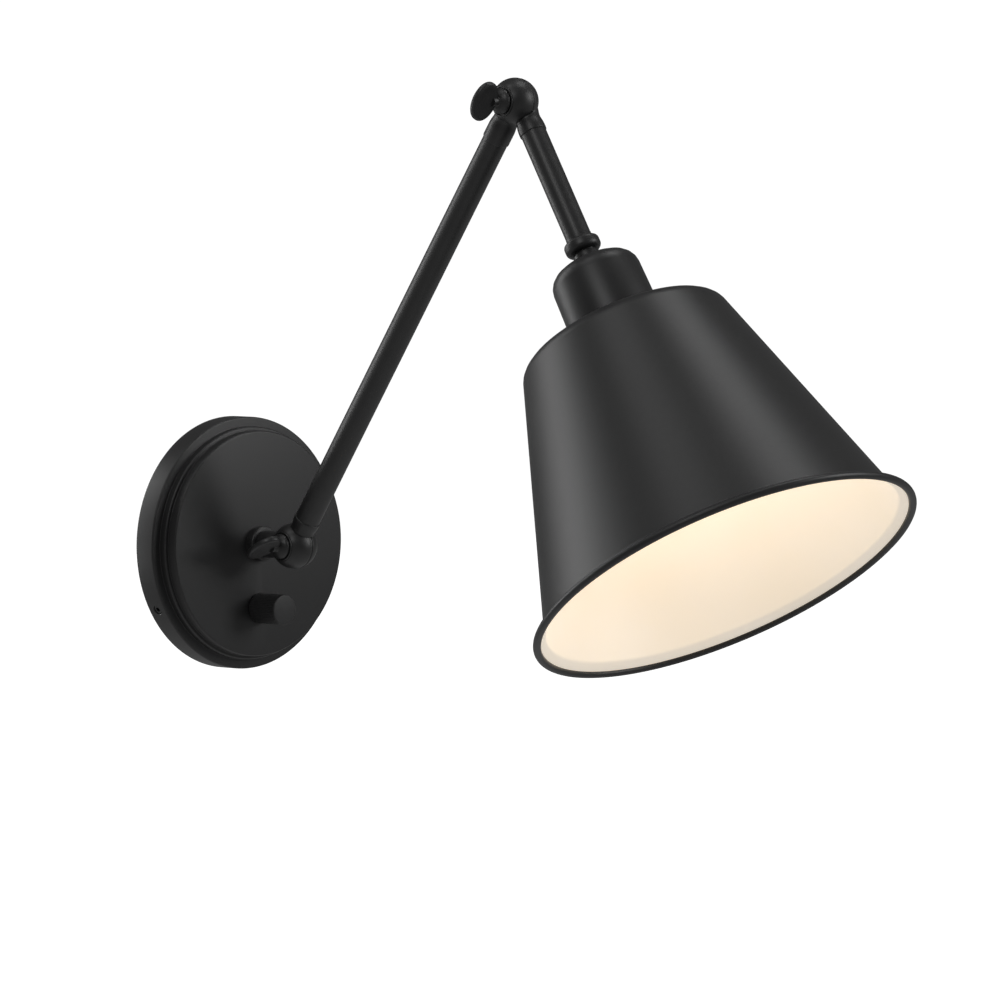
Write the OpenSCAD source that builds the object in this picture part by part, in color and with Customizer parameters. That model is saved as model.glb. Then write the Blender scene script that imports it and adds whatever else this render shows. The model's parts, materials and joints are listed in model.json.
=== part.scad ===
// Adjustable wall lamp: round wall canopy with a dimmer, two tubular arms joined by
// clamped half-ball knuckles, and a flared metal shade.
// Millimetres. +Z is up, the wall is the plane Y = 0 and the lamp stands out towards -Y.
// The origin is the centre of the mounting plate, on the wall.

/* [Canopy and mounting plate] */
// Diameter of the canopy
canopy_d = 127; // [110:1:160]
// Depth of the canopy's side wall
canopy_rim_h = 12; // [10:0.5:16]
// Height of the middle step above the wall
canopy_step_h = 16; // [14:0.5:20]
// Height of the front face above the wall
canopy_h = 21.2; // [19:0.1:28]
// Width of the flat ring around the steps
canopy_ledge_w = 4.9; // [3:0.1:8]
// Width of the narrow ring on the middle step
canopy_step_w = 1.9; // [1:0.1:3]
// Radius on the canopy's rounded edges
canopy_edge_r = 0.9; // [0.4:0.1:1.4]
// Sheet thickness of the canopy
canopy_wall = 1.3; // [1:0.1:2]
// Thickness of the mounting plate
plate_t = 1.6; // [1.2:0.1:2.5]
// Height of the flange that the set screws press on
plate_flange_h = 9.5; // [8:0.5:9.5]
// Gap between the flange and the canopy's wall
plate_gap = 2.2; // [1:0.1:4]
// Distance between the wall screw slots
wall_slot_spacing = 88.9; // [80:0.1:92]
// Width of each wall screw slot
wall_slot_w = 4.6; // [4:0.1:6]
// Length of each wall screw slot
wall_slot_l = 12; // [8:0.5:14]
// Diameter of the hole that the supply wires come through
wire_hole_d = 22; // [18:1:26]
// Diameter of the canopy's set screws
set_screw_d = 4.8; // [4:0.1:6]
// Diameter of the ground screw's thread
ground_screw_d = 4; // [3:0.5:5]

/* [Dimmer] */
// Distance of the dimmer below the canopy's centre
dimmer_drop = 32.5; // [30:0.5:36]
// Width and height of the dimmer's case
dimmer_case_w = 22; // [18:1:24]
// Depth of the dimmer's case
dimmer_case_h = 11; // [8:0.5:12]
// Diameter of the dimmer's threaded bushing
bushing_d = 7; // [6.6:0.1:8]
// Diameter of the dimmer's shaft
dimmer_shaft_d = 5; // [4:0.1:5.2]
// Diameter of the knob
knob_d = 15.2; // [14:0.1:20]
// How far the knob stands out of the canopy
knob_out = 19; // [12:0.5:21]

/* [Knuckles] */
// Length of the stem between its collar and the base ball
stem_neck_l = 10.1; // [7:0.1:30]
// Diameter of each knuckle's ball
ball_d = 23; // [22:0.5:28]
// Place of the joint's split plane along the hinge axis
split_x = 1.5; // [0:0.1:2.5]
// Thickness of the friction washer between the half balls
washer_t = 0.8; // [0.5:0.1:1.5]
// Wall of a neck around its tube
neck_wall = 0.45; // [0.4:0.05:1]
// Length of the lower arm's neck beyond the base ball
base_neck_l = 5.5; // [4:0.1:14]
// Length of the lower arm's neck beyond the elbow ball
elbow_lower_neck_l = 11.5; // [4:0.1:18]
// Length of the upper arm's neck beyond the elbow ball
elbow_upper_neck_l = 6.9; // [4:0.1:18]
// Diameter of the collar at the foot of the stem
stem_collar_d = 17.6; // [16:0.1:24]
// Length of the collar at the foot of the stem
stem_collar_l = 4.6; // [3:0.1:6]
// Diameter of the stem's thread inside the canopy
stem_thread_d = 10; // [9:0.1:11]
// Diameter of the clamp screws
clamp_screw_d = 5; // [4:0.1:5.4]
// Diameter of the boss under each thumb screw
boss_d = 14.8; // [14:0.1:18]
// Diameter of each thumb screw's domed collar
thumb_collar_d = 12.8; // [10:0.1:14]
// Length of each thumb screw's paddle along the hinge axis
paddle_l = 15.5; // [12:0.5:20]
// Height of each thumb screw's paddle
paddle_w = 20.5; // [14:0.5:26]
// Thickness of each thumb screw's paddle
paddle_t = 3; // [2:0.1:5]

/* [Arms] */
// Lower arm's length between the two knuckle centres
lower_arm_l = 272.8; // [180:0.5:400]
// Lower arm's lean from the vertical
lower_lean = 35.4; // [20:0.1:60]
// Upper arm's lean from the vertical
upper_lean = 31.9; // [31:0.1:60]
// Diameter of both arm tubes
tube_d = 12.7; // [11.5:0.1:12.9]
// Wall of both arm tubes
tube_wall = 1; // [0.8:0.1:1.4]
// Distance from the elbow's centre to the end of the upper tube
upper_tube_end = 76.6; // [50:0.5:160]
// Sideways offset of the upper arm from the elbow's centre, along the hinge axis
upper_shift = 3.1; // [0:0.1:4]
// Diameter of the turned bead below the upper tube
bead_d = 17.9; // [16:0.1:22]
// Length of the bead with its short neck
bead_l = 15.6; // [10:0.1:20]
// How much wider than the tube the short neck below the bead is
bead_neck_extra = 0.2; // [0:0.1:2]
// Diameter of the threaded nipple inside the bead
nipple_d = 9; // [8:0.1:9.4]
// Diameter of the sheathed lead inside the arms
lead_d = 4; // [3:0.1:4.4]

/* [Socket and shade] */
// Diameter of the socket cup near its closed end
cup_d = 44.2; // [43:0.1:50]
// How much wider the socket cup is at its mouth
cup_flare = 1.8; // [0:0.1:4]
// Length of the socket cup
cup_l = 39.6; // [36:0.1:46]
// Rounding at the closed end of the socket cup
cup_round = 8.5; // [2:0.5:9]
// Sheet thickness of the socket cup
cup_wall = 1; // [0.8:0.1:1.6]
// Diameter of the lampholder's threaded skirt
holder_d = 38; // [36:0.1:39]
// Length of the lampholder
holder_l = 44; // [42:0.5:46]
// Inner diameter of the lampholder's screw shell
screw_shell_d = 26.5; // [26:0.1:27]
// Diameter of the ring that holds the shade
shade_ring_d = 50; // [44:0.5:60]
// Diameter of the shade where its top and side lines would meet
shade_top_d = 102; // [80:0.5:120]
// Diameter of the shade where its side lines would meet the plane of the rim
shade_rim_d = 184.2; // [150:0.1:230]
// Height of the shade
shade_h = 132.4; // [125:0.1:180]
// Rounding at the shade's shoulder
shade_round = 8.5; // [3:0.5:12]
// Length of the lip that flares out from the wall to the rim bead
lip_l = 3.7; // [2.5:0.1:8]
// How far the rim bead stands out beyond the shade's wall
lip_out = 5.9; // [4.5:0.1:9]
// Sheet thickness of the shade
shade_wall = 1; // [0.8:0.1:1.6]
// Diameter of the rolled bead around the rim
rim_bead_d = 3.9; // [2.4:0.1:5]
// Largest diameter of the bulb
bulb_d = 60; // [45:1:66]
// Length of the bulb's glass
bulb_l = 82; // [70:1:90]

/* [Clearances] */
// Radial clearance of a turning shaft in its bore
running_fit = 0.05; // [0.02:0.01:0.1]
// Radial clearance of a screw or lead in its hole
hole_fit = 0.15; // [0.1:0.05:0.4]
// Gap between faces that slide on each other
face_gap = 0.1; // [0.05:0.05:0.3]
// Gap between a ball and a neck that swings over it
ball_gap = 0.35; // [0.3:0.05:0.8]

/* [Hidden] */
$fn = 72;
arc_steps = 6;
cut = 50;

canopy_r = canopy_d / 2;
ledge_r = canopy_r - canopy_ledge_w;
face_r = ledge_r - canopy_step_w;
plate_r = canopy_r - canopy_wall - plate_gap;
set_screw_angles = [90, 210, 330];
set_screw_height = canopy_rim_h / 2;
set_screw_sink = 0.5;
set_screw_key_l = 1.7;
screw_slot_w = 1;
ground_head_h = 2.2;
ground_screw_y = wire_hole_d / 2 + 11;
canopy_inside_h = canopy_h - canopy_wall;

stem_washer_w = 3.5;
stem_washer_t = 1;
stem_nut_flats = stem_thread_d + 4;
stem_nut_h = 4;
stem_foot = canopy_h - 8;

dimmer_spring_gap = 1.8;
dimmer_case_top = canopy_inside_h - dimmer_spring_gap;
dimmer_case_foot = dimmer_case_top - dimmer_case_h;
dimmer_floor = 2;
dimmer_shoulder_w = 3;
dimmer_nut_flats = bushing_d + 3;
dimmer_nut_h = 2.2;
bushing_out = 4;
knob_gap = 0.6;
knob_top = 3;
knob_edge = 0.5;
knob_recess_r = dimmer_nut_flats / cos(30) / 2 + 0.5;

ball_r = ball_d / 2;
inner_face = split_x - washer_t / 2;
outer_face = split_x + washer_t / 2 + face_gap;
boss_out = sqrt(pow(ball_r, 2) - pow(boss_d / 2, 2)) + 0.5;
boss_l = 2;
hub_r = clamp_screw_d / 2 + 1.5;
neck_foot = hub_r + 1;
neck_bore_r = lead_d / 2 + 1;
neck_d = tube_d + 2 * neck_wall;
neck_root_d = neck_d - 1.4;
neck_flare_end = ball_r + 3;
neck_edge = 0.5;
pocket_r = ball_r - 3.2;
pocket_depth = 4.5;
screw_tip = ball_r - 3;
screw_grip = 1.5;
thumb_collar_l = 3;
thumb_stem_r = 2.6;
thumb_root = boss_out + face_gap;
paddle_x = thumb_root + thumb_collar_l + 0.6;
tube_seat = ball_r + 2.5;
base_wing_turn = 60;
elbow_wing_turn = 25.5;
base_reach = canopy_h + stem_collar_l + stem_neck_l + ball_r;

wire_r = 1.2;
wire_bend = 4;
wire_foot_y = 4;
connector_r = 3.6;
connector_l = 16;
connector_taper = 0.7;
connector_z = 11;
connector_y = ground_screw_y + 8;
connector_pitch = 2 * connector_r + 0.8;
connector_bore_l = 7;

elbow = [0, -base_reach - lower_arm_l * sin(lower_lean), lower_arm_l * cos(lower_lean)];

bead_start = upper_tube_end;
bead_round = 2.6;
bead_foot = bead_start + 9;
bead_groove_w = 0.9;
bead_groove_depth = 1;
bead_neck_r = tube_d / 2 + bead_neck_extra / 2;
cup_start = upper_tube_end + bead_l;
shade_start = cup_start + cup_l;
cup_mouth_r = (cup_d + cup_flare) / 2;
shade_end = shade_start + shade_h;
shade_angle = atan((shade_rim_d - shade_top_d) / 2 / shade_h);
shade_ring_h = 4;
lip_turn = 0.65 * shade_wall;

holder_start = cup_start + 8.5;
holder_end = holder_start + holder_l;
holder_step = 1.5;
holder_thread_start = shade_start - 4;
holder_floor = holder_start + 9.5;
nipple_grip = 4;
nipple_in_tube = 8;
nipple_wall = nipple_d / 2 - lead_d / 2 - 0.5;
nipple_nut_flats = nipple_d + 5;
nipple_nut_h = 3;
lead_end = holder_start + 6;
terminal_x = 10;
terminal_screw_r = 1.6;
terminal_head_r = 3.2;
terminal_head_h = 2;
terminal_l = 6;
terminal_slot_w = 0.8;
shell_r = screw_shell_d / 2;
shell_wall = 0.5;
contact_r = 4;

cap_r = shell_r - hole_fit;
cap_start = holder_floor + 3.5;
cap_l = 25;
glass_start = cap_start + cap_l;
bulb_wall = 0.8;
bulb_neck_l = 12;
bulb_meet_angle = 35;

// ---- Places ----

// Local Z points out of the wall and local Y points up.
module on_wall() rotate([90, 0, 0]) children();

// Local Z runs from the base knuckle towards the wall.
module along_stem() translate([0, -base_reach, 0]) rotate([-90, 0, 0]) children();

// Local Z runs from the base knuckle to the elbow.
module along_lower_arm() translate([0, -base_reach, 0]) rotate([lower_lean, 0, 0]) children();

// Local Z runs from the elbow back to the base knuckle.
module back_along_lower_arm() translate(elbow) rotate([lower_lean + 180, 0, 0]) children();

// Local Z runs from the elbow towards the shade, through the ball's centre.
module along_upper_arm() translate(elbow) rotate([180 - upper_lean, 0, 0]) children();

// Local Z is the upper arm's own axis, beside the ball's centre.
module on_upper_axis() along_upper_arm() translate([upper_shift, 0, 0]) children();

// ---- Shapes that repeat ----

// Points of a round corner about a centre, from one angle to another.
function arc(centre, r, from, to) =
    [for (i = [0 : arc_steps]) centre + r * [cos(from + (to - from) * i / arc_steps),
                                             sin(from + (to - from) * i / arc_steps)]];

// A tube or ring between two heights.
module ring(outer_r, inner_r, low, high) {
    difference() {
        translate([0, 0, low]) cylinder(r = outer_r, h = high - low);
        translate([0, 0, low - 1]) cylinder(r = inner_r, h = high - low + 2);
    }
}

// A rod between two heights.
module rod(r, low, high) translate([0, 0, low]) cylinder(r = r, h = high - low);

// A hexagon nut between two heights.
module hex_nut(across_flats, bore_r, low, high) {
    difference() {
        translate([0, 0, low]) cylinder(d = across_flats / cos(30), h = high - low, $fn = 6);
        rod(bore_r, low - 1, high + 1);
    }
}

// Turns a Z rod onto the hinge axis, towards +X.
module on_hinge() rotate([0, 90, 0]) children();

// A ball about the hinge axis, kept between two places along it.
module ball_slice(r, low, high) {
    on_hinge() rotate_extrude() intersection() {
        circle(r = r);
        translate([0, low]) square([r, high - low]);
    }
}

// A neck that widens from its ball to its tube.
module neck(length) {
    rotate_extrude()
        polygon([[0, neck_foot], [neck_root_d / 2, neck_foot], [neck_root_d / 2, ball_r - 1],
                 [neck_d / 2, neck_flare_end], [neck_d / 2, length - neck_edge],
                 [neck_d / 2 - neck_edge, length], [0, length]]);
}

// One half of a knuckle with its neck along +Z, moved by shift along the hinge axis.
// The half on the -X side carries the boss.
module knuckle_half(side, length, tube_hole_r, shift = 0) {
    low = side < 0 ? -boss_out : outer_face;
    high = side < 0 ? inner_face : ball_r + 1;
    difference() {
        union() {
            ball_slice(ball_r, low, high);
            difference() {
                translate([shift, 0, 0]) neck(length);
                // Room for the other half to swing past
                if (side < 0) ball_slice(ball_r + ball_gap, inner_face, cut);
                else ball_slice(ball_r + ball_gap, -cut, outer_face);
            }
            if (side < 0) on_hinge() rod(boss_d / 2, -boss_out, -boss_out + boss_l);
        }
        // Hole for the clamp screw, blind in the half that it screws into
        on_hinge()
            rod(clamp_screw_d / 2 + running_fit, low - 1, side < 0 ? high + 1 : screw_tip + 1);
        // Ring-shaped pocket that the lead crosses the joint in
        on_hinge()
            if (side < 0) ring(pocket_r, hub_r, inner_face - pocket_depth, inner_face + 1);
            else ring(pocket_r, hub_r, outer_face - 1, outer_face + pocket_depth);
        // Bore for the lead, and the seat of the tube
        translate([shift, 0, 0]) rod(neck_bore_r, neck_foot, length + 1);
        translate([shift, 0, 0]) rod(tube_hole_r, tube_seat, length + 1);
    }
}

// A friction washer in the split of a knuckle.
module friction_washer() {
    on_hinge() ring(ball_r - 0.5, pocket_r, inner_face, inner_face + washer_t);
}

// The clamp screw of a knuckle, from the thumb screw's collar into the far half.
module clamp_screw() {
    on_hinge() rod(clamp_screw_d / 2, -thumb_root - screw_grip, screw_tip);
}

// The paddle-shaped head of a thumb screw. The paddle stands along local Z.
module thumb_wing() {
    difference() {
        union() {
            on_hinge() rotate([0, 180, 0]) rotate_extrude()
                polygon([[0, thumb_root], [thumb_collar_d / 2, thumb_root],
                         [thumb_collar_d / 2, thumb_root + 1],
                         [thumb_collar_d / 2 - 1.4, thumb_root + thumb_collar_l - 0.6],
                         [thumb_stem_r + 0.6, thumb_root + thumb_collar_l],
                         [thumb_stem_r, paddle_x + 3], [0, paddle_x + 3]]);
            translate([0, paddle_t / 2, 0]) rotate([90, 0, 0]) linear_extrude(paddle_t)
                polygon([for (a = [0 : 10 : 350])
                    [-paddle_x - paddle_l / 2 + paddle_l / 2 * cos(a), paddle_w / 2 * sin(a)]]);
        }
        clamp_screw();
    }
}

// ---- Canopy and wall parts ----

module mounting_plate() {
    color("silver") on_wall() difference() {
        union() {
            rod(plate_r, 0, plate_t);
            ring(plate_r, plate_r - plate_t, 0, plate_flange_h);
        }
        rod(wire_hole_d / 2, -1, plate_t + 1);
        for (side = [-1, 1]) translate([side * wall_slot_spacing / 2, 0, -1]) {
            slot_shift = (wall_slot_l - wall_slot_w) / 2;
            for (end = [-1, 1]) translate([end * slot_shift, 0, 0])
                cylinder(d = wall_slot_w, h = plate_t + 2);
            translate([-slot_shift, -wall_slot_w / 2, 0])
                cube([2 * slot_shift, wall_slot_w, plate_t + 2]);
        }
        translate([0, ground_screw_y, 0]) rod(ground_screw_d / 2, -1, plate_t + 1);
    }
}

module ground_screw() {
    color("green") on_wall() translate([0, ground_screw_y, 0]) difference() {
        union() {
            rod(ground_screw_d / 2, 0.2, plate_t);
            rod(ground_screw_d, plate_t, plate_t + ground_head_h);
        }
        translate([-ground_screw_d, -screw_slot_w / 2, plate_t + ground_head_h - screw_slot_w])
            cube([2 * ground_screw_d, screw_slot_w, 2 * screw_slot_w]);
    }
}

module canopy() {
    color("#2b2b2c") on_wall() difference() {
        rotate_extrude($fn = 128) polygon(concat(
            [[0, 0], [canopy_r, 0]],
            arc([canopy_r - canopy_edge_r, canopy_rim_h - canopy_edge_r], canopy_edge_r, 0, 90),
            [[ledge_r, canopy_rim_h]],
            arc([ledge_r - canopy_edge_r, canopy_step_h - canopy_edge_r], canopy_edge_r, 0, 90),
            [[face_r, canopy_step_h]],
            arc([face_r - canopy_edge_r, canopy_h - canopy_edge_r], canopy_edge_r, 0, 90),
            [[0, canopy_h]]));
        rod(canopy_r - canopy_wall, -1, canopy_rim_h - canopy_wall);
        rod(ledge_r - canopy_wall, 0, canopy_step_h - canopy_wall);
        rod(face_r - canopy_wall, 0, canopy_inside_h);
        rod(stem_thread_d / 2 + hole_fit, 0, canopy_h + 1);
        translate([0, -dimmer_drop, 0]) rod(bushing_d / 2 + hole_fit, 0, canopy_h + 1);
        for (angle = set_screw_angles) rotate([0, 0, angle]) translate([0, 0, set_screw_height])
            on_hinge() rod(set_screw_d / 2 + hole_fit, canopy_r - canopy_wall - 1, canopy_r + 1);
    }
}

module canopy_set_screws() {
    color("#1c1c1d") on_wall()
        for (angle = set_screw_angles) rotate([0, 0, angle]) translate([0, 0, set_screw_height])
            on_hinge() difference() {
                rod(set_screw_d / 2, plate_r, canopy_r - set_screw_sink);
                rotate([0, 0, 30]) translate([0, 0, canopy_r - set_screw_sink - set_screw_key_l])
                    cylinder(d = set_screw_d / 2, h = 2 * set_screw_key_l, $fn = 6);
            }
}

module stem_collar() {
    color("#262627") on_wall() difference() {
        rotate_extrude() polygon(concat(
            [[0, canopy_h], [stem_collar_d / 2, canopy_h]],
            arc([stem_collar_d / 2 - 1, canopy_h + stem_collar_l - 1], 1, 0, 90),
            [[0, canopy_h + stem_collar_l]]));
        rod(stem_thread_d / 2 + hole_fit, canopy_h - 1, canopy_h + stem_collar_l + 1);
    }
}

module stem_washer() {
    color("silver") on_wall()
        ring(stem_thread_d / 2 + stem_washer_w, stem_thread_d / 2 + hole_fit,
             canopy_inside_h - stem_washer_t, canopy_inside_h);
}

module stem_nut() {
    color("goldenrod") on_wall()
        hex_nut(stem_nut_flats, stem_thread_d / 2, canopy_inside_h - stem_washer_t - stem_nut_h,
                canopy_inside_h - stem_washer_t);
}

module base_knuckle_fixed() {
    color("#262627") along_stem() difference() {
        union() {
            knuckle_half(-1, ball_r + stem_neck_l, neck_bore_r);
            rod(stem_thread_d / 2, neck_flare_end + 1, base_reach - stem_foot);
        }
        rod(neck_bore_r, ball_r, base_reach);
    }
}

module base_friction_washer() {
    color("#5a5a58") along_stem() friction_washer();
}

module stem_lead() {
    color("#1f1f20") along_stem() rod(lead_d / 2, ball_r + 1, base_reach - stem_foot + 1);
}

// ---- Supply wires ----

connector_spots = [-1, 0, 1];

module wire_connectors() {
    for (spot = connector_spots) color("#d8a030") on_wall()
        translate([spot * connector_pitch, connector_y, connector_z]) rotate([-90, 0, 0])
            difference() {
                cylinder(r1 = connector_r, r2 = connector_r * connector_taper, h = connector_l);
                rod(wire_r + hole_fit, -1, connector_bore_l);
            }
}

// Three wires run down from the connectors, bend and leave through the plate's wire hole.
module supply_leads() {
    colours = ["#202020", "#2f8a3a", "#e8e8e4"];
    bend_y = wire_foot_y + wire_bend;
    for (spot = connector_spots) color(colours[spot + 1]) on_wall()
        translate([spot * connector_pitch, 0, 0]) {
            translate([0, wire_foot_y, 0]) rod(wire_r, 0.3, connector_z - wire_bend);
            translate([0, bend_y, connector_z - wire_bend]) rotate([0, -90, 180])
                rotate_extrude(angle = 90) translate([wire_bend, 0]) circle(r = wire_r);
            translate([0, bend_y, connector_z]) rotate([-90, 0, 0])
                rod(wire_r, 0, connector_y + connector_bore_l - 0.5 - bend_y);
        }
}

// ---- Dimmer ----

module dimmer_module() {
    color("#303236") on_wall() translate([0, -dimmer_drop, 0]) difference() {
        union() {
            translate([-dimmer_case_w / 2, -dimmer_case_w / 2, dimmer_case_foot])
                cube([dimmer_case_w, dimmer_case_w, dimmer_case_h]);
            rod(bushing_d / 2, dimmer_case_top - 1, canopy_h + bushing_out);
            rod(bushing_d / 2 + dimmer_shoulder_w, dimmer_case_top - 1, canopy_inside_h);
        }
        rod(dimmer_shaft_d / 2 + running_fit, dimmer_case_foot + dimmer_floor, canopy_h + bushing_out + 1);
    }
}

module dimmer_nut() {
    color("silver") on_wall() translate([0, -dimmer_drop, 0])
        hex_nut(dimmer_nut_flats, bushing_d / 2, canopy_h, canopy_h + dimmer_nut_h);
}

module dimmer_shaft() {
    color("silver") on_wall() translate([0, -dimmer_drop, 0])
        rod(dimmer_shaft_d / 2, dimmer_case_foot + dimmer_floor + 3 * face_gap, canopy_h + knob_out - knob_top);
}

module dimmer_knob() {
    knob_start = canopy_h + knob_gap;
    knob_end = canopy_h + knob_out;
    color("#1b1b1c") on_wall() translate([0, -dimmer_drop, 0]) difference() {
        rotate_extrude() polygon([
            [0, knob_start], [knob_d / 2, knob_start], [knob_d / 2, knob_end - knob_edge],
            [knob_d / 2 - knob_edge, knob_end], [0, knob_end]]);
        rod(knob_recess_r, knob_start - 1, canopy_h + bushing_out + knob_gap);
        rod(dimmer_shaft_d / 2, knob_start, knob_end - knob_top);
    }
}

// ---- Thumb screws ----

module base_thumb_wing() {
    color("#262627") translate([0, -base_reach, 0]) rotate([base_wing_turn, 0, 0]) thumb_wing();
}

module base_clamp_screw() {
    color("silver") translate([0, -base_reach, 0]) clamp_screw();
}

module elbow_thumb_wing() {
    color("#262627") translate(elbow) rotate([elbow_wing_turn, 0, 0]) thumb_wing();
}

module elbow_clamp_screw() {
    color("silver") translate(elbow) clamp_screw();
}

// ---- Lower arm ----

module base_knuckle_moving() {
    color("#262627") along_lower_arm() knuckle_half(1, ball_r + base_neck_l, tube_d / 2);
}

module lower_tube() {
    color("#2b2b2c") along_lower_arm()
        ring(tube_d / 2, tube_d / 2 - tube_wall, tube_seat, lower_arm_l - tube_seat);
}

module lower_lead() {
    color("#1f1f20") along_lower_arm() rod(lead_d / 2, ball_r + 1, lower_arm_l - ball_r - 1);
}

module elbow_knuckle_lower() {
    color("#262627") back_along_lower_arm() knuckle_half(-1, ball_r + elbow_lower_neck_l, tube_d / 2);
}

module elbow_friction_washer() {
    color("#5a5a58") translate(elbow) friction_washer();
}

// ---- Upper arm, socket and shade ----

module elbow_knuckle_upper() {
    color("#262627") along_upper_arm()
        knuckle_half(1, ball_r + elbow_upper_neck_l, tube_d / 2, upper_shift);
}

module upper_tube() {
    color("#2b2b2c") on_upper_axis()
        ring(tube_d / 2, tube_d / 2 - tube_wall, tube_seat, upper_tube_end);
}

module upper_lead() {
    color("#1f1f20") on_upper_axis() rod(lead_d / 2, ball_r + 1, lead_end);
}

module neck_bead() {
    flare = bead_d / 2 - tube_d / 2;
    color("#262627") on_upper_axis() difference() {
        rotate_extrude() polygon(concat(
            [[0, bead_start], [tube_d / 2 + 0.2, bead_start],
             [tube_d / 2 + flare * 0.35, bead_start + 1.6],
             [tube_d / 2 + flare * 0.75, bead_start + 3.2]],
            arc([bead_d / 2 - bead_round, bead_foot - bead_round], bead_round, -15, 90),
            [[bead_neck_r - bead_groove_depth, bead_foot],
             [bead_neck_r - bead_groove_depth, bead_foot + bead_groove_w],
             [bead_neck_r, bead_foot + bead_groove_w], [bead_neck_r, cup_start], [0, cup_start]]));
        rod(nipple_d / 2, bead_start - 1, cup_start + 1);
    }
}

module nipple() {
    color("goldenrod") on_upper_axis()
        ring(nipple_d / 2, nipple_d / 2 - nipple_wall, bead_start - nipple_in_tube, holder_start + nipple_grip);
}

module nipple_nut() {
    color("goldenrod") on_upper_axis()
        hex_nut(nipple_nut_flats, nipple_d / 2, cup_start + cup_wall, cup_start + cup_wall + nipple_nut_h);
}

module socket_cup() {
    color("#262627") on_upper_axis() difference() {
        rotate_extrude() polygon(concat(
            [[0, shade_start], [0, cup_start]],
            arc([cup_d / 2 - cup_round, cup_start + cup_round], cup_round, -90, 0),
            [[cup_mouth_r, shade_start]]));
        rotate_extrude() polygon(concat(
            [[0, shade_start + 1], [0, cup_start + cup_wall]],
            arc([cup_d / 2 - cup_round, cup_start + cup_round], cup_round - cup_wall, -90, 0),
            [[cup_mouth_r - cup_wall, shade_start], [cup_mouth_r - cup_wall, shade_start + 1]]));
        rod(nipple_d / 2 + hole_fit, cup_start - 1, cup_start + cup_wall + 1);
    }
}

module lampholder() {
    color("#3a2f2a") on_upper_axis() difference() {
        union() {
            rod(holder_d / 2 - holder_step, holder_start, holder_end);
            rod(holder_d / 2, holder_thread_start, holder_end - holder_step);
        }
        rod(shell_r + shell_wall, holder_floor + 2, holder_end + 1);
        rod(contact_r, holder_floor, holder_end);
        for (side = [-1, 1]) translate([side * terminal_x, 0, 0])
            rod(terminal_screw_r, holder_start - 1, holder_start + terminal_l);
        rod(nipple_d / 2, holder_start - 1, holder_start + nipple_grip);
        rod(lead_d / 2 + hole_fit, holder_start, lead_end);
    }
}

module terminal_screws() {
    color("goldenrod") on_upper_axis()
        for (side = [-1, 1]) translate([side * terminal_x, 0, 0]) difference() {
            union() {
                rod(terminal_screw_r, holder_start, holder_start + terminal_l);
                rod(terminal_head_r, holder_start - terminal_head_h, holder_start);
            }
            translate([-terminal_head_r - 1, -terminal_slot_w / 2, holder_start - terminal_head_h - 1])
                cube([2 * terminal_head_r + 2, terminal_slot_w, 1 + terminal_slot_w]);
        }
}

module screw_shell() {
    color("goldenrod") on_upper_axis() ring(shell_r + shell_wall, shell_r, cap_start, holder_end - 3);
}

module centre_contact() {
    color("goldenrod") on_upper_axis() rod(contact_r, holder_floor, cap_start - 0.5);
}

module shade() {
    corner = [shade_top_d / 2, shade_start];
    tangent = shade_round * tan((90 - shade_angle) / 2);
    round_centre = corner + [-tangent, shade_round];
    rim_r = shade_rim_d / 2;
    inner_shift = shade_wall / cos(shade_angle);
    hole_r = holder_d / 2 + 2 * hole_fit;
    bead_centre = [rim_r + lip_out - rim_bead_d / 2, shade_end];
    lip_start = shade_end - lip_l;
    lip_r = rim_r - lip_l * tan(shade_angle);
    color("#2b2b2c") on_upper_axis() {
        rotate_extrude($fn = 128) polygon(concat(
            [[hole_r, shade_start]],
            arc(round_centre, shade_round, -90, -shade_angle),
            [[lip_r, lip_start], bead_centre - [rim_bead_d / 4, rim_bead_d / 4],
             bead_centre - [rim_bead_d * 0.4, 0],
             [lip_r - inner_shift + lip_turn * tan(shade_angle), lip_start + lip_turn]],
            arc(round_centre, shade_round - shade_wall, -shade_angle, -90),
            [[hole_r, shade_start + shade_wall]]));
        rotate_extrude($fn = 128) translate(bead_centre) circle(d = rim_bead_d, $fn = 24);
    }
}

module shade_ring() {
    color("silver") on_upper_axis()
        ring(shade_ring_d / 2, holder_d / 2 + running_fit, shade_start + shade_wall,
             shade_start + shade_wall + shade_ring_h);
}

module bulb_cap() {
    color("silver") on_upper_axis() rotate_extrude() polygon([
        [0, cap_start - 0.5], [contact_r + 0.5, cap_start - 0.5], [contact_r + 1.5, cap_start + 1.5],
        [cap_r - 1.5, cap_start + 3],
        [cap_r, cap_start + 5], [cap_r, glass_start], [0, glass_start]]);
}

// Half outline of the bulb's glass, shrunk by an inset.
module bulb_outline(inset) {
    r = bulb_d / 2 - inset;
    ball_centre = glass_start + bulb_l - bulb_d / 2;
    neck_r = cap_r - 0.3 - inset;
    translate([0, ball_centre]) intersection() {
        circle(r = r);
        translate([0, -r]) square([r, 2 * r]);
    }
    polygon([[0, glass_start + inset], [neck_r, glass_start + inset], [neck_r + 1, glass_start + bulb_neck_l],
             [r * cos(bulb_meet_angle), ball_centre - r * sin(bulb_meet_angle)], [0, ball_centre]]);
}

module bulb_glass() {
    color("ivory") on_upper_axis() rotate_extrude() difference() {
        bulb_outline(0);
        bulb_outline(bulb_wall);
    }
}

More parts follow.
